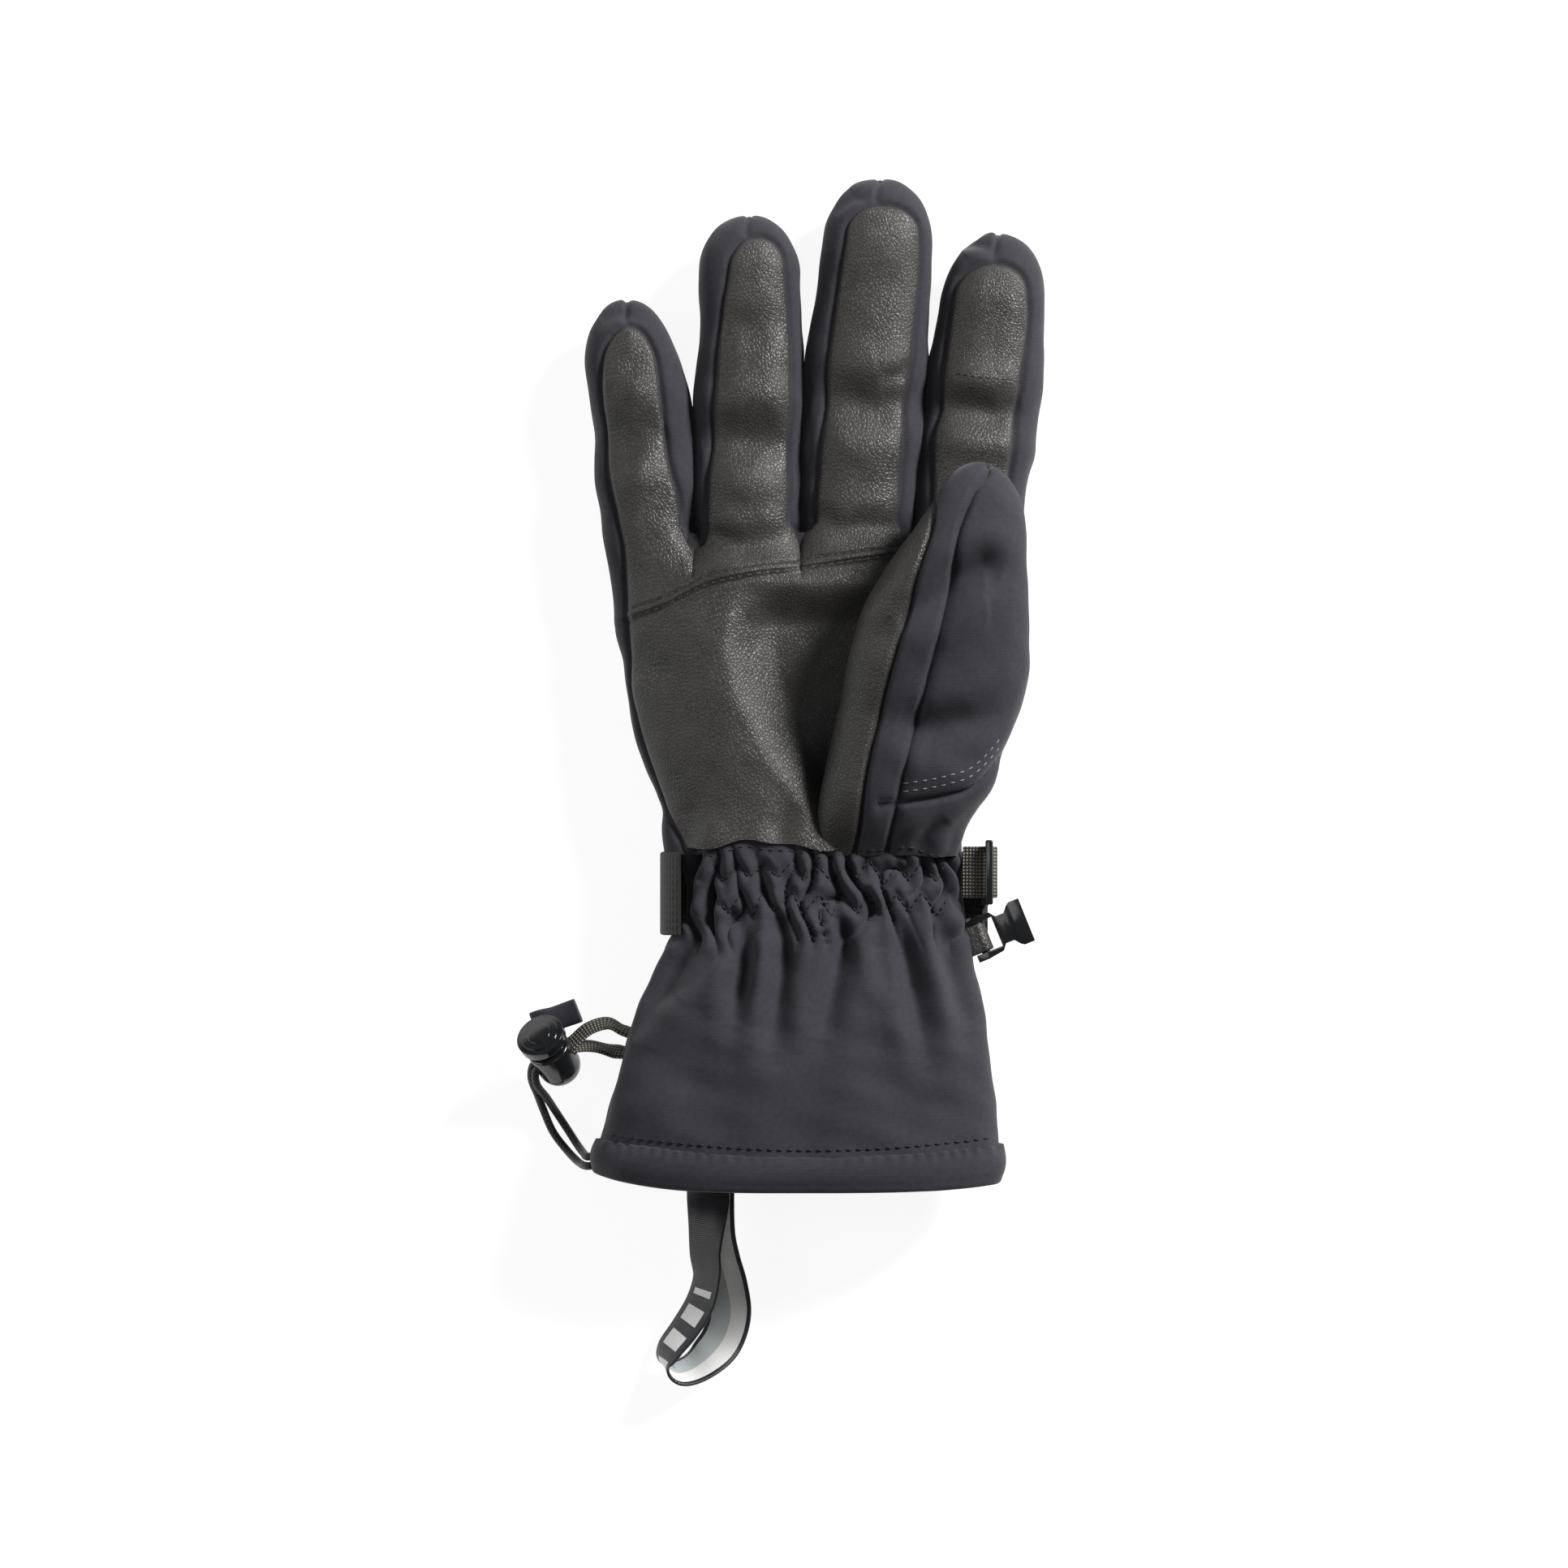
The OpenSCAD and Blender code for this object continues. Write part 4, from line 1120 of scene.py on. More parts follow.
def leather_cover(base: Array) -> Array:
    """1 where leather covers the palm side's fabric, 0 elsewhere."""
    x, y, z = base[..., 0], base[..., 1], base[..., 2]
    inside = (y < notch_edge(x)) & (x > smooth(LEATHER_LEFT, y)) & (x < smooth(LEATHER_RIGHT, y))
    for f in FINGERS:
        left, right = f.leather.edges(y)
        inside |= (y >= SPLIT_Y) & (y < f.leather.top) & (x > left) & (x < right)
    return (inside & (z > 10)).astype(float)


def heightfield(x: Array, y: Array) -> tuple[Array, Array]:
    """Base points over plan points on the palm side, and the directions to move them in.

    Args:
        x: Plan points' x in mm.
        y: Plan points' y in mm.

    Returns:
        The points and their unit vectors.
    """
    base = np.stack([x, y, palm_height(x, y)], -1)
    e = 0.3
    gx = (palm_height(x + e, y) - palm_height(x - e, y)) / (2 * e)
    gy = (palm_height(x, y + e) - palm_height(x, y - e)) / (2 * e)
    n = np.stack([-0.6 * np.clip(gx, -1.5, 1.5), -0.3 * np.clip(gy, -1.5, 1.5), np.ones(x.shape)], -1)
    return base, n / np.linalg.norm(n, axis=-1, keepdims=True)


@dataclass
class Hand:
    """The palm and back of the hand: leather palm in two panels, softshell sides and back."""

    seams: Seams = field(default_factory=hand_seams)
    cell: float = 0.75

    def skin(self) -> Skin:
        """The hand's skin, which rides on the glove."""
        return Skin(PALM, hand_relief, self.seams)

    def panel(self, low: Callable[[Array], Array], high: Callable[[Array], Array]) -> tuple[Array, Array]:
        """Plan points of a palm panel between two edges given over x.

        Args:
            low: Lower edge's y over x.
            high: Upper edge's y over x.

        Returns:
            x and y of the points.
        """
        u, v = np.meshgrid(np.linspace(0, 1, 150), np.linspace(0, 1, 110))
        y = 60.0 * v
        for _ in range(6):
            left, right = smooth(LEATHER_LEFT, y), smooth(LEATHER_RIGHT, y)
            x = left + (right - left) * u
            y = low(x) + (high(x) - low(x)) * v
        return x, y

    def leather(self) -> None:
        """The two palm panels, joined at the double-stitched ridge."""
        skin = self.skin()
        for name, low, high, replaced in (
            ("palm_leather_lower", wrist_edge, palm_seam, "palm_lower_panel"),
            ("palm_leather_upper", palm_seam, notch_edge, "palm_upper_panel"),
        ):
            x, y = self.panel(low, high)
            obj = skin.sheet(name, *heightfield(x, y), LEATHER)
            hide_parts(replaced)

    def shell(self) -> None:
        """Softshell sides and back, and the fourchettes in the crotches."""
        skin = self.skin()
        for name, span, cols, replaced in (
            ("hand_back", (226, 314), 100, "back_panel"),
            ("hand_blade_side", (90, 226), 130, "blade_side_gusset"),
            ("hand_index_side", (-46, 90), 130, "index_side_gusset"),
        ):
            obj = skin.tube(name, -3, 99, SHELL, 120, cols, span=span, cover=leather_cover, shape=hand_shape,
                            tuck=lambda y: 1.5 * ease(94.5, 99, y))
            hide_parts(replaced)
        for (xc, yc), pair in zip(NOTCHES, ("little_ring", "ring_middle", "middle_index")):
            x, y = np.meshgrid(np.linspace(xc - 3.6, xc + 3.6, 40), np.linspace(yc - 3, 101, 40))
            base, up = heightfield(x, y)
            obj = skin.sheet("crotch_" + pair, base, up, SHELL, offset=-1.0, puff=0.5, dive=0.4)
            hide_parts(pair + "_fourchette")

    def lining(self) -> None:
        """Fleece lining of the hand, facing inwards; the CAD lining and wadding are hidden."""
        inner = Skin(PALM, lambda x, y: np.minimum(hand_relief(x, y), 0), self.seams)
        obj = inner.tube("hand_lining_fleece", -3, 92, FLEECE, 70, 120, depth=5.4, puff=0, dive=0, inward=True)
        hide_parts("hand_lining", "hand_insulation")
        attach(obj, "glove")

    def build(self) -> None:
        """Builds the whole hand."""
        self.leather()
        self.shell()
        self.lining()


@dataclass
class Finger:
    """One finger: leather inset, softshell sides and back, and its lining sock."""

    pattern: FingerPattern
    seams: Seams
    reach: float = 9.0
    axis_height: float = 19.0

    def bend(self) -> Bend:
        """The finger's bend across its knuckle."""
        c = float(self.pattern.form.centre(self.pattern.knuckle))
        k, z = self.pattern.knuckle, self.axis_height
        return Bend(self.pattern.body, (c, k - self.reach, z), (c, k + self.reach, z))

    def skin(self) -> Skin:
        """The finger's skin."""
        return Skin(self.pattern.form, hand_relief, self.seams, self.bend())

    def inset(self, name: str, y0: float, y1: float, finish: Finish, rows: int) -> bpy.types.Object:
        """A length of the leather inset.

        Args:
            name: Name of the piece.
            y0: Where it begins.
            y1: Where it ends.
            finish: Its material.
            rows: Points along it.

        Returns:
            The panel.
        """
        leather = self.pattern.leather
        t = np.linspace(0, 1, rows)
        if y1 >= leather.top - 1e-6:
            k = max(1e-3, (leather.top - leather.round_off - y0) / (y1 - y0))
            t = np.where(t < 0.7, t / 0.7 * k, k + (1 - k) * np.sin((t - 0.7) / 0.3 * np.pi / 2))
        v, u = np.meshgrid(y0 + (y1 - y0) * t, np.linspace(0, 1, 44), indexing="ij")
        left, right = leather.edges(v)
        base, n = heightfield(left + (right - left) * u, v)
        return self.skin().sheet(name, base, n, finish)

    def build(self) -> None:
        """Builds the finger."""
        p = self.pattern
        skin = self.skin()
        if p.name == "index":
            obj = self.inset("index_finger_leather", SPLIT_Y, TOUCH_SEAM_Y, LEATHER, 60)
            tip = self.inset("index_touch_patch", TOUCH_SEAM_Y, p.leather.top, PATCH_LEATHER, 60)
            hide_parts("index_touch_tip")
        else:
            obj = self.inset(p.name + "_finger_leather", SPLIT_Y, p.leather.top, LEATHER, 110)
        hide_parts(p.name + "_leather")
        for part, span, cols in (("back", (226, 314), 40), ("fourchette", (-46, 226), 110)):
            obj = skin.tube(f"{p.name}_finger_{part}", 91, p.form.tip, SHELL, 110, cols, span=span,
                            cover=leather_cover, tuck=lambda y: 1.5 * (1 - ease(91, 95.5, y)))
            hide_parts(f"{p.name}_{part}")
        sock = Skin(p.form, lambda x, y: 0 * x, self.seams, self.bend())
        obj = sock.tube(p.name + "_finger_sock", 90, p.form.tip, FLEECE, 30, 36, depth=5.5, puff=0, dive=0,
                        inward=True)
        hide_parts(p.name + "_lining")
        LOG.info("%s finger built", p.name)


THUMB_STRIP_LEFT: Table = ((-3, 12.4), (0, 13.2), (19.2, 15.6), (45.6, 21.6), (72, 28.8), (96, 35.6), (101, 36),
                           (112, 36))
THUMB_STRIP_RIGHT: Table = ((-3, 22), (19.2, 26.4), (48, 33.6), (72, 39.6), (96, 44.4), (104, 48), (109.2, 51.6),
                            (112, 52))
GUSSET_SEAM: Table = ((20, 11.5), (30, 12.6), (40, 14.5), (47, 17), (54, 24), (60, 32))


@dataclass
class Thumb:
    """The thumb: leather inside, a narrow strip, a softshell back with its gusset, and a sock."""

    creases: tuple[Crease, ...] = (
        Crease(((56, 79), (50, 81), (43, 77), (35, 70), (24, 64)), 4.0, 4.6),
        Crease(((64, 42), (48, 36), (34, 33), (24, 37)), 2.8, 5.0),
        Crease(((62, 30), (50, 25), (36, 26)), 1.4, 3.6),
        Crease(((16, 64), (20, 60), (24, 52)), 0.8, 5.0),
        Crease(((40, 8), (34, 3), (30, -2)), 1.6, 2.6),
        Crease(((48, 10), (42, 4), (40, -2)), 1.2, 2.4),
    )

    def relief(self, x: Array, y: Array) -> Array:
        """Folds of the thumb seen from the palm side."""
        return sum(c.relief(x, y) for c in self.creases)

    def edges(self, y: Array) -> tuple[Array, Array]:
        """Angles of the strip's left and right seams at heights y."""
        return THUMB.angle_at(y, smooth(THUMB_STRIP_LEFT, y)), THUMB.angle_at(y, smooth(THUMB_STRIP_RIGHT, y))

    def rows(self, y0: float, count: int) -> Array:
        """Heights from y0 to the tip, closer together at the tip."""
        return y0 + (THUMB.tip - y0) * np.sin(np.linspace(0, np.pi / 2, count))

    def build(self) -> None:
        """Builds the thumb."""
        bend = Bend("thumb tip", (38, 66, 40), (41, 86, 40))
        ys = self.rows(-3, 120)
        a, b = self.edges(ys)
        x = np.linspace(20, 56, 40)
        y = smooth(GUSSET_SEAM, x)
        seam = THUMB.point(y, THUMB.angle_at(y, x))
        seams = Seams([THUMB.point(ys, a), THUMB.point(ys, b), THUMB.point(ys, 222), seam])
        skin = Skin(THUMB, self.relief, seams, bend)
        for name, low, high, finish, nodes, slot, count in (
            ("thumb_inner_leather", a, 222 + 0 * a, LEATHER, ("thumb_base_leather", "thumb_leather"), "leather", 60),
            ("thumb_side_strip", b, a, SHELL, ("thumb_base_strip", "thumb_strip"), "softshell", 26),
        ):
            t = np.linspace(0, 1, count)
            angle = low[:, None] + (high - low)[:, None] * t
            y = np.broadcast_to(ys[:, None], angle.shape)
            base = THUMB.point(y, angle)
            obj = grid_object(name, skin.surface(base, normals(base, False), angle, 0.1, 0.7, 1.7))
            bend.attach(finish.dress(obj))
            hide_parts(*nodes)
        for name, y0, nodes in (("thumb_outer_back", None, ("thumb_base_back", "thumb_back")),
                                ("thumb_gusset", -3.0, ())):
            t = np.linspace(0, 1, 110 if y0 is None else 30)
            t = np.sin(t * np.pi / 2) if y0 is None else t
            u = np.linspace(0, 1, 110)
            tt, uu = np.meshgrid(t, u, indexing="ij")
            y = np.full(tt.shape, 20.0) if y0 is None else -3 + 15 * tt
            for _ in range(5):
                edge = self.edges(y)[1]
                angle = -138 + (edge + 138) * uu
                px = THUMB.point(y, angle)[..., 0]
                cut = smooth(GUSSET_SEAM, px)
                y = cut + (THUMB.tip - cut) * tt if y0 is None else -3 + (cut + 3) * tt
            base = THUMB.point(y, angle)
            obj = grid_object(name, skin.surface(base, normals(base, False), angle, 0.1, 0.7, 1.7))
            bend.attach(SHELL.dress(obj))
            if nodes:
                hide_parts(*nodes)
        sock = Skin(THUMB, lambda x, y: 0 * x, seams, bend)
        obj = sock.tube("thumb_sock", 10, THUMB.tip, FLEECE, 30, 36, depth=6, puff=0, dive=0, inward=True)
        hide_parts("thumb_base_lining", "thumb_lining")


def zigzag(top: float, low: float, seed: int) -> tuple[tuple[float, float], ...]:
    """A row of elastic zigzag stitching whose points wander with the gathered fabric."""
    rng = np.random.default_rng(seed)
    shift = rng.uniform(-1, 1, (21, 2)) * (0.9, 1.1)
    return tuple((-33 + 3.85 * i + dx, (top if i % 2 else low) + dy) for i, (dx, dy) in enumerate(shift.tolist()))


ZIGZAG_TOP = zigzag(-5.0, -10.6, 5)
ZIGZAG_LOW = zigzag(-14.2, -20.4, 6)


def zigzag_pull(x: Array, y: Array) -> Array:
    """How far the two zigzag rows of elastic stitching pull the fabric in.

    Args:
        x: Plan points' x in mm.
        y: Plan points' y in mm.

    Returns:
        Heights in mm, none above 0.
    """
    total = np.zeros(x.shape)
    for row in (ZIGZAG_TOP, ZIGZAG_LOW):
        best = np.full(x.shape, 1e3)
        for (ax, ay), (bx, by) in zip(row, row[1:]):
            dx, dy = bx - ax, by - ay
            t = np.clip(((x - ax) * dx + (y - ay) * dy) / (dx * dx + dy * dy), 0, 1)
            best = np.minimum(best, np.hypot(x - ax - t * dx, y - ay - t * dy))
        total -= 1.2 * np.exp(-((best / 1.3) ** 2))
    return total


def gathers(x: Array, y: Array) -> Array:
    """Puckers of the wrist: lobes with sharp valleys that die away up and down.

    Args:
        x: Plan points' x in mm.
        y: Plan points' y in mm.

    Returns:
        Heights in mm.
    """
    plan = np.stack([x, 0.8 * y, 0 * x], -1)
    warp = 1.5 * np.sin(x / 5.1) + 1.2 * np.sin(x / 11.3 + 1.1) + 1.5 * np.sin(y / 4.1 + x / 5)
    phase = (x + warp + 1.6 * lumps(plan, 9, 21)) / 7.4
    lobe = 2 * np.abs(np.sin(np.pi * phase)) ** 0.6 - 1.4
    uneven = 1 + 0.45 * np.sin(x / 6.7 + 0.4) + 0.4 * lumps(plan, 11, 22)
    strength = ease(1.0, -5, y) * ease(-36, -20, y)
    broad = np.sin((x + 3 * np.sin(x / 17)) / 3.1 + 0.6) * ease(-18, -26, y) * ease(-56, -28, y)
    soft = 0.9 * lumps(plan, 7, 23) * strength
    return 2.0 * lobe * uneven * strength + soft + 1.0 * broad + zigzag_pull(x, y) * ease(2, -2, y)


CUFF_FOLDS = (
    Crease(((-30, -18), (-36, -31), (-45, -44), (-54, -58)), 4.2, 4.0),
    Crease(((-24, -18), (-28, -32), (-38, -46)), 2.6, 2.8),
    Crease(((-19, -18), (-20, -34), (-23, -54)), 3.4, 3.2),
    Crease(((-9, -18), (-9, -36), (-12, -62)), 3.4, 3.4),
    Crease(((0, -18), (0, -32), (-3, -48)), 2.0, 2.6),
    Crease(((8, -18), (7, -34), (3, -58)), 3.6, 3.6),
    Crease(((17, -18), (20, -32), (23, -48)), 2.4, 2.8),
    Crease(((24, -18), (28, -36), (34, -66)), 3.6, 3.6),
    Crease(((36, -18), (40, -34), (46, -56)), 3.2, 3.2),
    Crease(((2, -56), (-1, -76), (-2, -94)), 1.6, 8.0),
    Crease(((-50, -60), (-34, -70), (-14, -78)), 1.2, 8.0),
    Crease(((14, -64), (32, -76), (50, -80)), 1.2, 8.0),
)


@dataclass
class Gauntlet:
    """The elasticated wrist and flared cuff with its rolled hem and lining; Thread lays their stitching."""

    seam_y: Table = ((-64, -86.4), (-34, -89.6), (-4, -91.2), (30, -90), (55, -87.6))

    def relief(self, x: Array, y: Array) -> Array:
        """Gathers and radiating folds."""
        folds = sum(c.relief(x, y) for c in CUFF_FOLDS)
        billow = 2.6 * np.exp(-(((y + 62) / 22) ** 2))
        return gathers(x, y) + folds * ease(-14, -24, y) + billow

    def back_relief(self, x: Array, y: Array) -> Array:
        """The back of the wrist: the same gathers under the strap, without the stitched rows."""
        return 0.7 * gathers(x + 3.1, y)

    def tube(self, name: str, form: Form, ys: tuple[float, float], span: tuple[float, float], rows: int, cols: int,
             seams: Seams) -> bpy.types.Object:
        """One panel of the wrist or cuff.

        Args:
            name: Name of the piece.
            form: The form it lies on.
            ys: First and last height.
            span: First and last angle.
            rows: Points along it.
            cols: Points round it.
            seams: Seams it dips at.

        Returns:
            The panel.
        """
        relief = self.relief if span[0] < 90 else self.back_relief
        y, angle = np.meshgrid(np.linspace(*ys, rows), np.linspace(*span, cols), indexing="ij")
        base = form.point(y, angle)
        skin = Skin(form, relief, seams)
        side = ease(0, 0.5, np.abs(np.sin(np.radians(angle))))
        n = normals(base, False)
        near = seams.distance(base)
        d = relief(base[..., 0], base[..., 1]) * side + 0.5 * lumps(base, 30, 7) + 0.2 * lumps(base, 10, 8)
        d -= 0.9 * np.exp(-((near / 0.9) ** 2))
        grid = base + n * d[..., None]
        grid[..., 2] = np.maximum(grid[..., 2], LOWEST)
        obj = grid_object(name, grid)
        skin.bend.attach(SHELL.dress(obj))
        return obj

    def hem(self) -> bpy.types.Object:
        """The hem: a rolled tube with a crowned face, puckered a little along its stitching.

        Returns:
            The hem.
        """
        angle = np.linspace(0, 360, 360, endpoint=False)
        a = np.radians(angle)
        cos = np.cos(a)
        rise = np.where(cos < 0, 5.4, 2.4) * np.abs(cos) ** 2.5
        x = CUFF.point(np.full(angle.shape, -95.0), angle)[:, 0]
        top = smooth(self.seam_y, x)
        bottom = -102.2 + rise
        rows = []
        for t in np.linspace(0, 1, 46):
            if t < 0.5:
                s = t / 0.5
                y = top + (bottom + 2.2 - top) * s
                out = 1.7 * np.sin(np.pi * min(1, s * 0.9 + 0.06)) ** 0.6 - 1.3 * (s < 0.06)
            elif t < 0.66:
                s = (t - 0.5) / 0.16
                y = bottom + 2.2 - 2.2 * math.sin(s * math.pi)
                out = 0.35 + 1.6 * math.cos(s * math.pi) - 1.6
            else:
                s = (t - 0.66) / 0.34
                y = bottom + 2.2 + (top + 1 - bottom) * s
                out = -2.85 - 1.6 * s * np.ones(1)
            base = CUFF.point(y, angle)
            n = normals(np.stack([CUFF.point(y - 0.5, angle), base, CUFF.point(y + 0.5, angle)]), True)[1]
            pucker = 0.6 * np.sin(x * 1.7 + 1.5 * np.sin(x / 7)) * math.exp(-((t / 0.12) ** 2))
            pucker = pucker + 0.5 * lumps(base, 12, 9)
            rows.append(base + n * (np.asarray(out) + pucker * (t < 0.6))[..., None])
        grid = np.stack(rows)[::-1]
        grid[..., 2] = np.maximum(grid[..., 2], LOWEST)
        obj = grid_object("cuff_hem_roll", grid, closed=True)
        SHELL.dress(obj)
        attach(obj, "glove")
        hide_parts("cuff_hem")
        return obj

    def build(self) -> list[bpy.types.Object]:
        """Builds wrist, cuff, hem and lining, and returns the front pieces that carry stitching."""
        ys = np.linspace(-104, 4, 120)
        wrist_seams = Seams([WRIST.point(np.linspace(-22, 0, 30), a) for a in (0, 180)])
        cuff_seams = Seams([CUFF.point(ys, a) for a in (0, 180)])
        front = [
            self.tube("wrist_gathers_front", WRIST, (-22.2, 2.6), (0, 180), 80, 260, wrist_seams),
            self.tube("cuff_panel_front", CUFF, (-92.5, -21.8), (0, 180), 130, 240, cuff_seams),
        ]
        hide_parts("wrist_shell")
        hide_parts("cuff_front")
        self.tube("wrist_gathers_back", WRIST, (-22.2, 0.4), (180, 360), 50, 160, wrist_seams)
        back = self.tube("cuff_panel_back", CUFF, (-92.5, -21.8), (180, 360), 90, 160, cuff_seams)
        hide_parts("cuff_back")
        front.append(self.hem())
        plain = Skin(CUFF, lambda x, y: 0 * x, cuff_seams)
        obj = plain.tube("cuff_lining_fleece", -97, -21, FLEECE, 60, 110, depth=4.6, puff=0, dive=0, inward=True)
        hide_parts("cuff_lining")
        plain = Skin(WRIST, lambda x, y: 0.4 * gathers(x, y), wrist_seams)
        obj = plain.tube("wrist_elastic_lining", -22, 0, FLEECE, 30, 110, depth=5.2, puff=0, dive=0, inward=True)
        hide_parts("wrist_elastic")
        return front


# ---- Straps, cords and ribbon ----


def smooth_path(points: object, per: int = 8) -> Array:
    """A smooth curve through points, as closely spaced points.

    Args:
        points: Route points.
        per: Points made for each stretch.

    Returns:
        The curve's points.
    """
    p = np.asarray(points, float)
    p = np.vstack([2 * p[0] - p[1], p, 2 * p[-1] - p[-2]])
    out = []
    for i in range(1, len(p) - 2):
        for t in np.arange(per) / per:
            out.append(0.5 * (2 * p[i] + (p[i + 1] - p[i - 1]) * t
                              + (2 * p[i - 1] - 5 * p[i] + 4 * p[i + 1] - p[i + 2]) * t * t
                              + (3 * p[i] - p[i - 1] - 3 * p[i + 1] + p[i + 2]) * t**3))
    return np.array(out + [p[-2]])


def strip(name: str, path: Array, across: Array, width: float, thick: float, finish: Finish,
          round_section: bool = False) -> bpy.types.Object:
    """A flat tape or round cord swept along a path, closed at both ends.

    Args:
        name: Name of the piece.
        path: Points of its middle line in mm.
        across: Direction of its width at each point, or one for all.
        width: Its width.
        thick: Its thickness.
        finish: Its material.
        round_section: True for a cord.

    Returns:
        The tape or cord.
    """
    ahead = np.gradient(path, axis=0)
    ahead /= np.linalg.norm(ahead, axis=1, keepdims=True)
    side = np.broadcast_to(across, path.shape).astype(float)
    side = side - ahead * (side * ahead).sum(1, keepdims=True)
    side /= np.linalg.norm(side, axis=1, keepdims=True)
    up = np.cross(side, ahead)
    w, t, r = width / 2, thick / 2, min(thick / 2, width / 2)
    if round_section:
        section = [(w * math.cos(k), t * math.sin(k)) for k in np.arange(12) / 12 * math.tau]
    else:
        half = [(-w, 0), (-w + 0.3 * r, 0.75 * t), (-w + r, t), (-w / 3, t), (w / 3, t), (w - r, t),
                (w - 0.3 * r, 0.75 * t)]
        section = half + [(-a, -b) for a, b in half]
    section = np.array(section)
    m = len(section)
    ring = path[:, None] + side[:, None] * section[None, :, :1] + up[:, None] * section[None, :, 1:]
    along = np.concatenate([[0], np.linalg.norm(np.diff(path, axis=0), axis=1).cumsum()])
    verts = ring.reshape(-1, 3)
    faces, uvs = [], []
    for j in range(len(path) - 1):
        for i in range(m):
            k = (i + 1) % m
            faces.append((j * m + i, j * m + k, (j + 1) * m + k, (j + 1) * m + i))
            below = section[i][1] + section[k][1] < 0 and not round_section
            if round_section:
                u = [math.pi * w * i / 6, math.pi * w * (i + 1) / 6]
            else:
                u = [section[i][0], section[k][0]]
            u = [v / 100 + below for v in u]
            here, there = along[j] / 100, along[j + 1] / 100
            uvs += [(u[0], here), (u[1], here), (u[1], there), (u[0], there)]
    faces.append(tuple(range(m - 1, -1, -1)))
    faces.append(tuple((len(path) - 1) * m + i for i in range(m)))
    uvs += [(0.0, 0.0)] * (2 * m)
    mesh = bpy.data.meshes.new(name)
    mesh.from_pydata(metres(verts).tolist(), [], faces)
    layer = mesh.uv_layers.new(name="UVMap")
    layer.data.foreach_set("uv", np.array(uvs, np.float32).ravel())
    mesh.polygons.foreach_set("use_smooth", [True] * len(mesh.polygons))
    obj = bpy.data.objects.new(name, mesh)
    bpy.context.scene.collection.objects.link(obj)
    bm = bmesh.new()
    bm.from_mesh(mesh)
    bmesh.ops.recalc_face_normals(bm, faces=bm.faces)
    bm.to_mesh(mesh)
    bm.free()
    mesh.set_sharp_from_angle(angle=math.radians(50))
    LOG.info("%s: %d faces", name, len(mesh.polygons))
    return finish.dress(obj)


TETHER_ROUTE = ((-55.9, -55, 14), (-60.5, -53, 13), (-66, -54.6, 13), (-70.5, -58.4, 13.2), (-74.6, -61.6, 13.2),
                (-75, -62.6, 12.2), (-71.07, -60.15, 12.14), (-65.4, -59.8, 11), (-60, -61, 11), (-56.2, -61.6, 12.6))
OUTER_CORD_ROUTE = ((-79, -63.3, 11.8), (-82.4, -65.4, 11.8), (-83, -69.5, 9.6), (-81.2, -74.5, 6), (-79.6, -79, 3.2),
                    (-76.8, -85.5, 2), (-72.6, -91, 2.6), (-69, -94.4, 7), (-66.6, -95.2, 14))
INNER_CORD_ROUTE = ((-78, -64.9, 13.6), (-81.5, -67.1, 13.5), (-81.4, -71.2, 11.2), (-78.6, -75.2, 6.6),
                    (-76, -79.4, 3), (-72.6, -84.6, 2.2), (-69.6, -89.2, 3.4), (-67.6, -91.6, 8), (-66.4, -92.4, 14))
LEASH_ROUTE = ((-30, -84, 21), (-30.5, -96, 15), (-30.6, -104, 9), (-31, -112, 7.5), (-31.5, -121, 7.5),
               (-31, -128, 8), (-33, -136, 8), (-37.5, -143.5, 8), (-42, -149.5, 8), (-43.6, -154, 7.6),
               (-40.6, -157, 6.8),
               (-36, -156.2, 5), (-31, -152.6, 4.2), (-26.5, -147, 2), (-24.4, -139.5, 1.6), (-25.4, -131.5, 1.6),
               (-27.4, -124, 1.8), (-29, -116, 2.8), (-29.4, -106, 5.4), (-29.2, -97, 7))
LEASH_ACROSS = ((1, 0, 0), (1, 0, 0), (1, 0, 0.15), (0.85, 0, 0.5), (0.75, 0.1, 0.75), (0.75, 0.1, 0.95),
                (0.8, -0.3, 1), (0.7, -0.4, 1), (0.6, -0.3, 1), (0.3, -0.3, 1), (0.2, -0.5, 1), (0.3, -0.7, 0.9),
                (0.4, -0.7, 0.5),
                (0.8, -0.6, 0.2), (1, -0.2, 0.1), (1, 0.2, 0.1), (1, 0.2, 0.2), (1, 0.1, 0.2), (1, 0, 0.1), (1, 0, 0))
LOCK_CENTRE = np.array([-73, -68.5, 5.8])
LOCK_TURN = (-44.0, 0.0, 31.0)
CLIP_AT = (49.8, -27.6, 21.0)
CLIP_TURN = 22.0
SLIDER_AT = (52.2, -8.2, 24.5)


def run_length(path: Array) -> float:
    """Length of a path in metres."""
    return float(np.linalg.norm(np.diff(path, axis=0), axis=1).sum() / 1000)


def place(at: Sequence[float], turn: Sequence[float] = (0, 0, 0)) -> Matrix:
    """Matrix from a piece's own metres to the row frame.

    Args:
        at: Its origin in design mm.
        turn: Degrees about x, then y, then z.
    """
    euler = Euler([math.radians(a) for a in turn], "XYZ")
    return Matrix.Translation(metres(at).tolist()) @ euler.to_matrix().to_4x4()


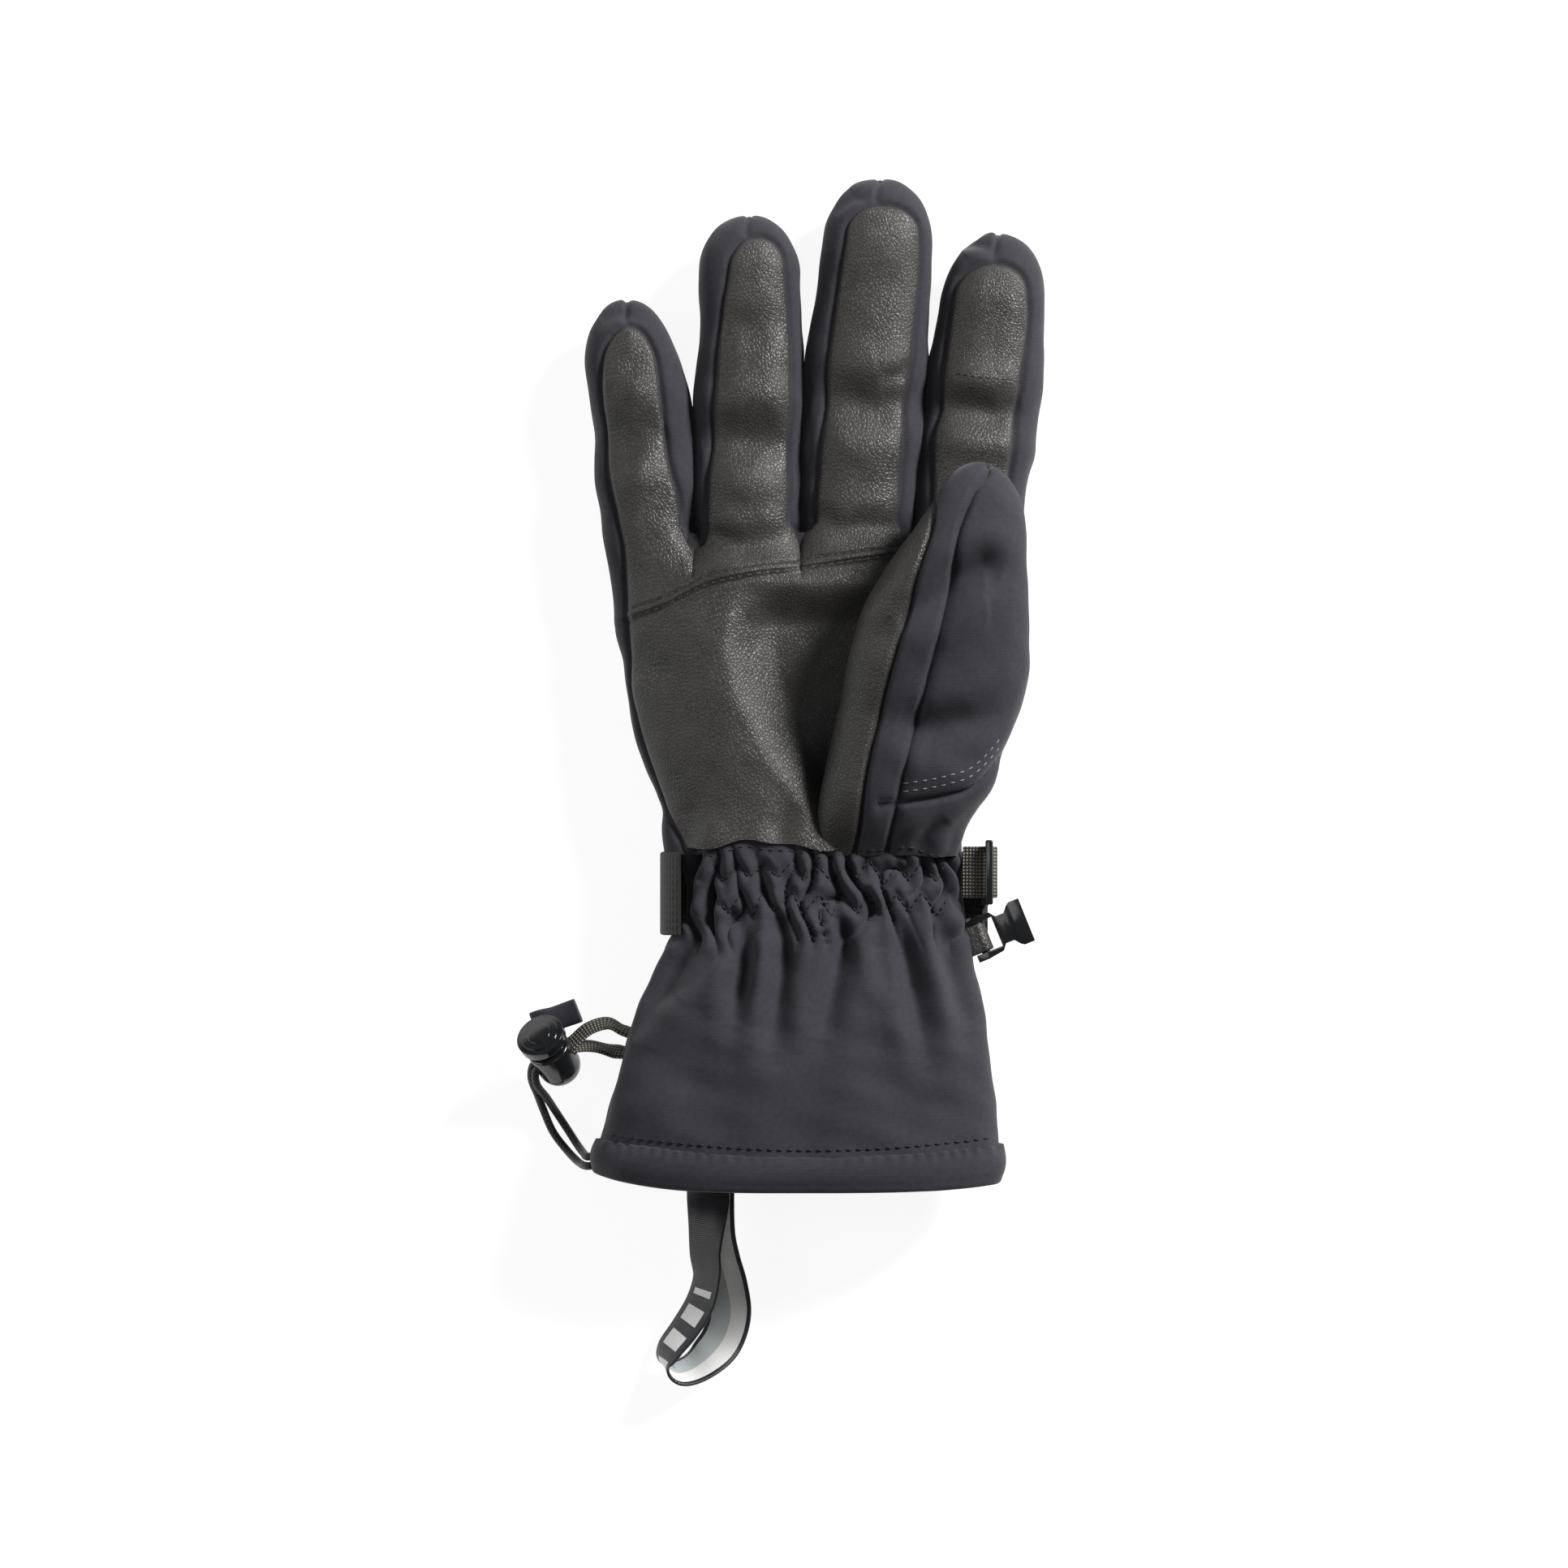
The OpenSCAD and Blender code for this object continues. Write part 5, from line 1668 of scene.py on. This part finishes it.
class Bench:
    """A workbench: Blender's own modelling tools on one hard piece at a time, sizes in mm."""

    @staticmethod
    def clear() -> None:
        """Deselects everything."""
        bpy.ops.object.select_all(action="DESELECT")

    @staticmethod
    def cube(name: str, size: Sequence[float], centre: Sequence[float] = (0, 0, 0)) -> bpy.types.Object:
        """A cuboid, its size and place in its mesh.

        Args:
            name: Name of the piece.
            size: Its size.
            centre: Its middle.

        Returns:
            The cuboid.
        """
        Bench.clear()
        bpy.ops.mesh.primitive_cube_add(size=1)
        obj = bpy.context.object
        obj.name = obj.data.name = name
        stretch = Matrix.Diagonal([s / 1000 for s in size] + [1])
        obj.data.transform(Matrix.Translation([c / 1000 for c in centre]) @ stretch)
        return obj

    @staticmethod
    def cylinder(name: str, radius: float, depth: float, centre: Sequence[float] = (0, 0, 0),
                 vertices: int = 64) -> bpy.types.Object:
        """A cylinder along z.

        Args:
            name: Name of the piece.
            radius: Its radius.
            depth: Its length.
            centre: Its middle.
            vertices: Points round it.

        Returns:
            The cylinder.
        """
        Bench.clear()
        bpy.ops.mesh.primitive_cylinder_add(radius=radius / 1000, depth=depth / 1000, vertices=vertices)
        obj = bpy.context.object
        obj.name = obj.data.name = name
        obj.data.transform(Matrix.Translation([c / 1000 for c in centre]))
        return obj

    @staticmethod
    def pick(obj: bpy.types.Object, faces: Callable[[Vector, Vector], bool]) -> None:
        """Selects the faces whose middle (mm) and normal pass a test, and enters edit mode.

        Args:
            obj: The piece.
            faces: The test.
        """
        for v in obj.data.vertices:
            v.select = False
        for e in obj.data.edges:
            e.select = False
        for p in obj.data.polygons:
            p.select = faces(p.center * 1000, p.normal)
        Bench.clear()
        obj.select_set(True)
        bpy.context.view_layer.objects.active = obj
        bpy.ops.object.mode_set(mode="EDIT")
        bpy.ops.mesh.select_mode(type="FACE")

    @staticmethod
    def done() -> None:
        """Leaves edit mode."""
        bpy.ops.object.mode_set(mode="OBJECT")

    @staticmethod
    def slice(obj: bpy.types.Object, at: Sequence[float], normal: Sequence[float]) -> None:
        """Cuts new edges round the whole mesh at a plane."""
        Bench.pick(obj, lambda c, n: True)
        bpy.ops.mesh.bisect(plane_co=[a / 1000 for a in at], plane_no=normal)
        Bench.done()

    @staticmethod
    def extrude(obj: bpy.types.Object, faces: Callable[[Vector, Vector], bool], move: Sequence[float],
                scale: float = 1.0, inset: float = 0.0) -> None:
        """Insets and then extrudes some faces.

        Args:
            obj: The piece.
            faces: Which faces.
            move: How far to move them, in mm.
            scale: Their size afterwards.
            inset: Inset first, in mm.
        """
        Bench.pick(obj, faces)
        if inset:
            bpy.ops.mesh.inset(thickness=inset / 1000)
        if any(move):
            bpy.ops.mesh.extrude_region_move(TRANSFORM_OT_translate={"value": [m / 1000 for m in move]})
        if scale != 1.0:
            bpy.ops.transform.resize(value=(scale, scale, scale))
        Bench.done()

    @staticmethod
    def modify(obj: bpy.types.Object, kind: str, **settings: object) -> None:
        """Adds a modifier with its settings and applies it.

        Args:
            obj: The piece.
            kind: Blender's modifier type.
            settings: Its properties.
        """
        mod = obj.modifiers.new(kind.title(), kind)
        for key, value in settings.items():
            setattr(mod, key, value)
        Bench.clear()
        obj.select_set(True)
        bpy.context.view_layer.objects.active = obj
        bpy.ops.object.modifier_apply(modifier=mod.name)

    @staticmethod
    def cut(obj: bpy.types.Object, cutter: bpy.types.Object, join: bool = False) -> None:
        """Cuts one piece out of another, or joins it on, and removes the tool."""
        Bench.modify(obj, "BOOLEAN", object=cutter, operation="UNION" if join else "DIFFERENCE", solver="EXACT")
        bpy.data.objects.remove(cutter)

    @staticmethod
    def soften(obj: bpy.types.Object, width: float, segments: int = 3, angle: float = 35) -> None:
        """Rounds the sharp edges by width mm and shades the piece."""
        Bench.modify(obj, "BEVEL", width=width / 1000, segments=segments, limit_method="ANGLE",
                     angle_limit=math.radians(angle), harden_normals=False)
        Bench.clear()
        obj.select_set(True)
        bpy.context.view_layer.objects.active = obj
        bpy.ops.object.shade_smooth_by_angle(angle=math.radians(32))

    @staticmethod
    def settle(obj: bpy.types.Object, where: Matrix, finish: Finish, body: str, slot: str,
               *nodes: str) -> bpy.types.Object:
        """Puts the finished piece in its place, dresses it, rides it on its body and hides the CAD nodes it replaces.

        Args:
            obj: The piece.
            where: Its place.
            finish: Its material.
            body: The body it rides on.
            slot: Not used.
            nodes: The CAD nodes it replaces.

        Returns:
            The piece.
        """
        obj.data.transform(where)
        finish.dress(obj)
        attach(obj, body)
        if nodes:
            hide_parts(*nodes)
        LOG.info("%s: %d faces", obj.name, len(obj.data.polygons))
        return obj


@dataclass
class Clip:
    """The moulded side clip that hooks two gloves together, on its leatherette loop."""

    length: float = 14.6
    width: float = 13.4
    thick: float = 5.0
    waist: float = 8.6
    wall: float = 2.1

    def build(self) -> None:
        """Models the frame, its window, waist and mouth, then the loop that holds it."""
        body = Bench.cube("side_clip", (self.length, self.width, self.thick), (self.length / 2, 0, 0))
        for x in (5.0, 6.4, 7.6, 9.0, 10.4, 11.4):
            Bench.slice(body, (x, 0, 0), (1, 0, 0))
        half = self.width / 2
        for v in body.data.vertices:
            x = v.co.x * 1000
            if 6.2 < x < 9.2:
                v.co.y *= self.waist / self.width
            elif 4.9 < x < 6.2 or 9.2 < x < 10.6:
                v.co.y *= 0.9
            if x > 9.2:
                v.co.z *= 1.04
        Bench.cut(body, Bench.cube("window", (6.6, self.width - 2 * self.wall, 12), (1.9, 0, 0)))
        for side in (-1, 1):
            rail = Bench.cube("rail", (3.6, self.wall, self.thick), (-1.2, side * (half - self.wall / 2), 0))
            Bench.cut(body, rail, join=True)
        Bench.cut(body, Bench.cube("mouth", (6.4, self.width - 3.6, 2.6), (12.2, 0, 0)))
        Bench.soften(body, 0.55, 3)
        bar = Bench.cylinder("clip_bar", 1.3, self.width - 2 * self.wall + 0.6)
        bar.data.transform(Matrix.Rotation(math.pi / 2, 4, "X"))
        Bench.modify(bar, "BEVEL", width=0.0002, segments=2)
        where = place(CLIP_AT, (0, 0, CLIP_TURN))
        Bench.settle(body, where, ACETAL, "clip", "plastic", "clip_buckle")
        Bench.settle(bar, where, ACETAL, "clip", "plastic")
        turn = np.array([[math.cos(math.radians(CLIP_TURN)), -math.sin(math.radians(CLIP_TURN)), 0],
                         [math.sin(math.radians(CLIP_TURN)), math.cos(math.radians(CLIP_TURN)), 0], [0, 0, 1]])
        local = [(-9.5, 0, 0.9), (-6, 0, 1.3), (-3, 0, 1.9)]
        local += [(2.1 * math.cos(a), 0, 2.1 * math.sin(a)) for a in np.linspace(1.9, -1.9, 9)]
        local += [(-3, 0, -1.9), (-6, 0, -1.3), (-9.5, 0, -0.9)]
        path = smooth_path(np.array(local) @ turn.T + np.array(CLIP_AT), 4)
        loop = strip("clip_loop_leatherette", path, turn @ np.array([0.0, 1.0, 0.0]), 8.6, 1.0, LEATHER)
        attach(loop, "glove")
        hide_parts("clip_loop")


@dataclass
class CordLock:
    """The push-button cord lock at the hem: barrel, plunger, its cords, tether and pull tab."""

    barrel_radius: float = 6.5
    height: float = 14.5
    bore: float = 4.9
    plunger_radius: float = 4.75
    cap_radius: float = 7.3

    def barrel(self, where: Matrix) -> bpy.types.Object:
        """A round-bottomed barrel with a grip ring, a bore and a slot for the cords.

        Args:
            where: Its place.

        Returns:
            The barrel.
        """
        obj = Bench.cylinder("cord_lock_body", self.barrel_radius, self.height, (0, 0, self.height / 2), 72)
        Bench.extrude(obj, lambda c, n: n.z > 0.9, (0, 0, 0), inset=0.7)
        Bench.slice(obj, (0, 0, 4.5), (0, 0, 1))
        Bench.slice(obj, (0, 0, 2.2), (0, 0, 1))
        for v in obj.data.vertices:
            z = v.co.z * 1000
            if z < 0.1:
                v.co.xy *= 0.52
            elif z < 2.3:
                v.co.xy *= 0.88
        Bench.soften(obj, 1.0, 4, 12)
        Bench.cut(obj, Bench.cylinder("bore", self.bore, 16, (0, 0, 1.6 + 8)))
        slot = Bench.cube("slot", (15, 6.8, 3.2), (0, 0, 9.6))
        Bench.soften(slot, 1.4, 4)
        Bench.cut(obj, slot)
        Bench.soften(obj, 0.18, 2, 50)
        return Bench.settle(obj, where, ACETAL, "glove", "plastic", "cord_lock_barrel")

    def plunger(self, where: Matrix) -> bpy.types.Object:
        """The button: a domed oval cap on a slotted stem.

        Args:
            where: Its place.

        Returns:
            The button.
        """
        obj = Bench.cylinder("cord_lock_button", self.plunger_radius, 11.2, (0, 0, 12.2), 72)
        slot = Bench.cube("stem_slot", (15, 5.0, 3.6), (0, 0, 11.6))
        Bench.cut(obj, slot)
        cap = Bench.cylinder("cap", self.cap_radius, 2.8, (0, 0, 19.1), 72)
        Bench.extrude(cap, lambda c, n: n.z > 0.9, (0, 0, 0.55), inset=1.6)
        Bench.extrude(cap, lambda c, n: n.z > 0.9 and c.z > 20.6, (0, 0, 0.3), inset=2.2)
        Bench.soften(cap, 0.9, 4, 12)
        Bench.cut(obj, cap, join=True)
        Bench.soften(obj, 0.12, 2, 50)
        return Bench.settle(obj, where, ACETAL, "plunger", "plastic", "cord_lock_plunger")

    def build(self) -> None:
        """Builds the lock and everything tied to it."""
        where = place(LOCK_CENTRE, LOCK_TURN)
        barrel = self.barrel(where)
        button = self.plunger(where)
        for name, route, nodes in (("drawcord_outer_strand", OUTER_CORD_ROUTE, ("drawcord_outer",)),
                                   ("drawcord_inner_strand", INNER_CORD_ROUTE, ("drawcord_inner",))):
            end = np.array(route[-1]) + (3.4, 0.4, 0.6)
            path = smooth_path([tuple(end), *route[::-1]], 10)
            obj = strip(name, path, (0.3, 0.2, 1.0), 2.4, 2.4, CORD, round_section=True)
            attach(obj, "glove")
            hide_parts(*nodes)
            LOG.info("%s: %.0f mm", name, 1000 * run_length(path))
        path = smooth_path([(-51.5, -56.5, 14.5), *TETHER_ROUTE, (-51.5, -62, 13.5)], 8)
        obj = strip("tether_tape", path, (0.4, -0.6, 0.7), 5.0, 1.2, DOTTED_TAPE)
        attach(obj, "glove")
        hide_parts("tether_loop")
        LOG.info("tether: %.0f mm", 1000 * run_length(path))
        tab = [(-82.2, -53.4, 9.6), (-79.5, -52.4, 10.4), (-76, -51.6, 10.2), (-72.5, -50.4, 10.6),
               (-69.2, -49.2, 11.6)]
        obj = strip("pull_tab_fold", smooth_path(tab, 6), (0.2, 1, 0.25), 7.4, 1.8, SHELL)
        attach(obj, "glove")
        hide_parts("pull_tab")


@dataclass
class Straps:
    """The wrist strap with its tab and slider, and the wrist leash ribbon."""

    width: float = 24.6
    thick: float = 1.6
    slider: tuple[float, float, float] = (2.2, 19.0, 12.0)

    def build(self) -> None:
        """Builds every strap."""
        angle = np.linspace(150, 352, 120)
        path = STRAP.point(np.full(angle.shape, -14.5), angle, -0.8)
        obj = strip("wrist_strap_webbing", path, (0, 1, 0), self.width, self.thick, TAPE)
        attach(obj, "glove")
        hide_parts("wrist_strap")
        angle = np.linspace(354.5, 374, 24)
        path = STRAP.point(np.full(angle.shape, -10.75), angle, -0.8)
        obj = strip("strap_end_tab", path, (0, 1, 0), 15.0, 1.4, TAPE)
        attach(obj, "glove")
        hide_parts("strap_tab")
        sx, sy, sz = self.slider
        ring = Bench.cube("strap_slider_frame", (sx, sy, sz))
        Bench.cut(ring, Bench.cube("slot", (10, sy - 4.4, sz - 4.0)))
        Bench.soften(ring, 0.5, 3)
        bar = Bench.cylinder("strap_slider_bar", 1.2, sy - 3.6)
        bar.data.transform(Matrix.Rotation(math.pi / 2, 4, "X"))
        where = place(SLIDER_AT)
        Bench.settle(ring, where, ACETAL, "slider", "plastic", "strap_slider")
        Bench.settle(bar, where, ACETAL, "slider", "plastic")
        x, y, z = SLIDER_AT
        fold = [(x - 7.6, y, z - 1.0), (x - 4.5, y, z - 1.5), (x - 2, y, z - 1.9)]
        fold += [(x + 2.0 * math.cos(a), y, z + 2.0 * math.sin(a)) for a in np.linspace(-1.9, 1.9, 9)]
        fold += [(x - 2, y, z + 1.9), (x - 4.5, y, z + 1.5), (x - 7.6, y, z + 1.0)]
        obj = strip("slider_anchor_webbing", smooth_path(fold, 4), (0, 1, 0), 15.2, 1.1, DOTTED_TAPE)
        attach(obj, "glove")
        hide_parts("slider_anchor")
        path = smooth_path(LEASH_ROUTE, 10)
        across = smooth_path(LEASH_ACROSS, 10)
        obj = strip("leash_ribbon_loop", path, across, 13.0, 1.0, RIBBON)
        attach(obj, "glove")
        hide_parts("leash_ribbon")
        LOG.info("leash: %.0f mm", 1000 * run_length(path))


@dataclass
class Thread:
    """All the stitching that shows."""

    surfaces: list[bpy.types.Object]

    def build(self) -> None:
        """Lays every row."""
        rows = Stitching(self.surfaces)
        for side, name in ((3.1, "upper"), (0.7, "lower")):
            line = [(x, float(smooth(PALM_SEAM, x)) + side) for x in np.linspace(-53.5, 24, 60)]
            rows.row("palm_seam_stitches_" + name, line, THREAD, length=1.7, gap=1.0, width=0.62, lift=0.1)
        line = [(42.2, 138.9), (47, 137.9), (52, 137.4), (57, 137), (61.6, 136.7)]
        bend = Bend("index finger", (49, 111, 19), (49, 129, 19))
        rows.row("touch_patch_stitches", line, THREAD, bend=bend, length=1.4, gap=0.8, width=0.6, lift=0.12)
        for name, zigzag in (("upper", ZIGZAG_TOP), ("lower", ZIGZAG_LOW)):
            inside = [p for p in zigzag if -32 < p[0] < 43]
            rows.row("elastic_zigzag_" + name, inside, THREAD, length=1.7, gap=0.5, width=0.45, lift=0.15)
        line = [(x, float(smooth(Gauntlet().seam_y, x)) + 1.6) for x in np.linspace(-60, 53, 80)]
        rows.row("hem_stitches", line, THREAD, length=1.9, gap=1.0, width=0.6, lift=0.15)
        line = [(x, float(wrist_edge(x, -2.2))) for x in np.linspace(-34, 40, 80)]
        rows.row("wrist_seam_stitches", line, THREAD, length=2.0, gap=1.0, width=0.45)
        for up, name in ((3.4, "lower"), (5.8, "upper")):
            line = [(x, float(smooth(GUSSET_SEAM, x)) + up) for x in np.linspace(26, 55, 60)]
            rows.row("gusset_topstitch_" + name, line, PALE_THREAD, length=1.5, gap=1.3, width=0.35)


@dataclass(frozen=True)
class Studio:
    """A pale floor, soft light from above and a long lens straight over the glove, in metres."""

    floor_height: float = -0.0018
    lens_mm: float = 232.9
    sensor_mm: float = 36.0
    camera_at: tuple[float, float, float] = (-0.0094, -0.0003, 3.015)

    def floor(self) -> None:
        """A wide pale floor just under the glove."""
        Bench.clear()
        bpy.ops.mesh.primitive_plane_add(size=8)
        floor = bpy.context.object
        floor.name = "studio_floor"
        floor.data.transform(Matrix.Translation((0, 0, self.floor_height)))
        Finish("studio_paper", "#8c8c8c", roughness=0.9, specular=0.1).dress(floor)
        shader = floor.data.materials[0].node_tree.nodes["Principled BSDF"]
        shader.inputs["Emission Color"].default_value = (1, 1, 1, 1)
        shader.inputs["Emission Strength"].default_value = 0.9

    def light(self, name: str, power: float, size: float, at: tuple[float, float, float]) -> None:
        """One square soft box that points at the glove."""
        lamp = bpy.data.lights.new(name, "AREA")
        lamp.energy, lamp.size = power, size
        obj = bpy.data.objects.new(name, lamp)
        obj.location = at
        obj.rotation_euler = (Vector((0, 0.02, 0)) - Vector(at)).to_track_quat("-Z", "Y").to_euler()
        bpy.context.scene.collection.objects.link(obj)

    def build(self) -> None:
        """Sets floor, lights, world and camera."""
        scene = bpy.context.scene
        self.floor()
        self.light("key_right", 62.0, 0.5, (1.2, 1.05, 1.0))
        self.light("low_left", 8.0, 0.9, (-1.6, 0.1, 0.65))
        self.light("overhead", 3.0, 0.7, (-0.25, 0.35, 2.3))
        world = bpy.data.worlds.new("studio_white")
        world.use_nodes = True
        world.node_tree.nodes["Background"].inputs["Color"].default_value = (1, 1, 1, 1)
        world.node_tree.nodes["Background"].inputs["Strength"].default_value = 0.09
        scene.world = world
        scene.view_settings.view_transform = "Standard"
        camera = bpy.data.cameras.new("camera")
        camera.sensor_width, camera.lens = self.sensor_mm, self.lens_mm
        camera.clip_end = 50
        obj = bpy.data.objects.new("camera", camera)
        obj.location = self.camera_at
        scene.collection.objects.link(obj)
        scene.camera = obj


def main() -> None:
    """Builds the glove over its frame, sub-assembly by sub-assembly."""
    logging.basicConfig(level=logging.INFO, format="%(name)s: %(message)s")
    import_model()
    Studio().build()
    CordLock().build()
    Straps().build()
    hand = Hand()
    hand.build()
    for pattern in FINGERS:
        Finger(pattern, hand.seams).build()
    Thumb().build()
    front = Gauntlet().build()
    Clip().build()
    named = ("palm_leather_lower", "palm_leather_upper", "index_finger_leather", "index_touch_patch",
             "thumb_outer_back", "thumb_gusset", "thumb_side_strip")
    Thread(front + [bpy.data.objects[n] for n in named]).build()
    STEEL.dress(bpy.data.objects["cord_lock_spring"])
    HEM_CORD.dress(bpy.data.objects["hem_drawcord"])


if __name__ == "__main__":
    main()
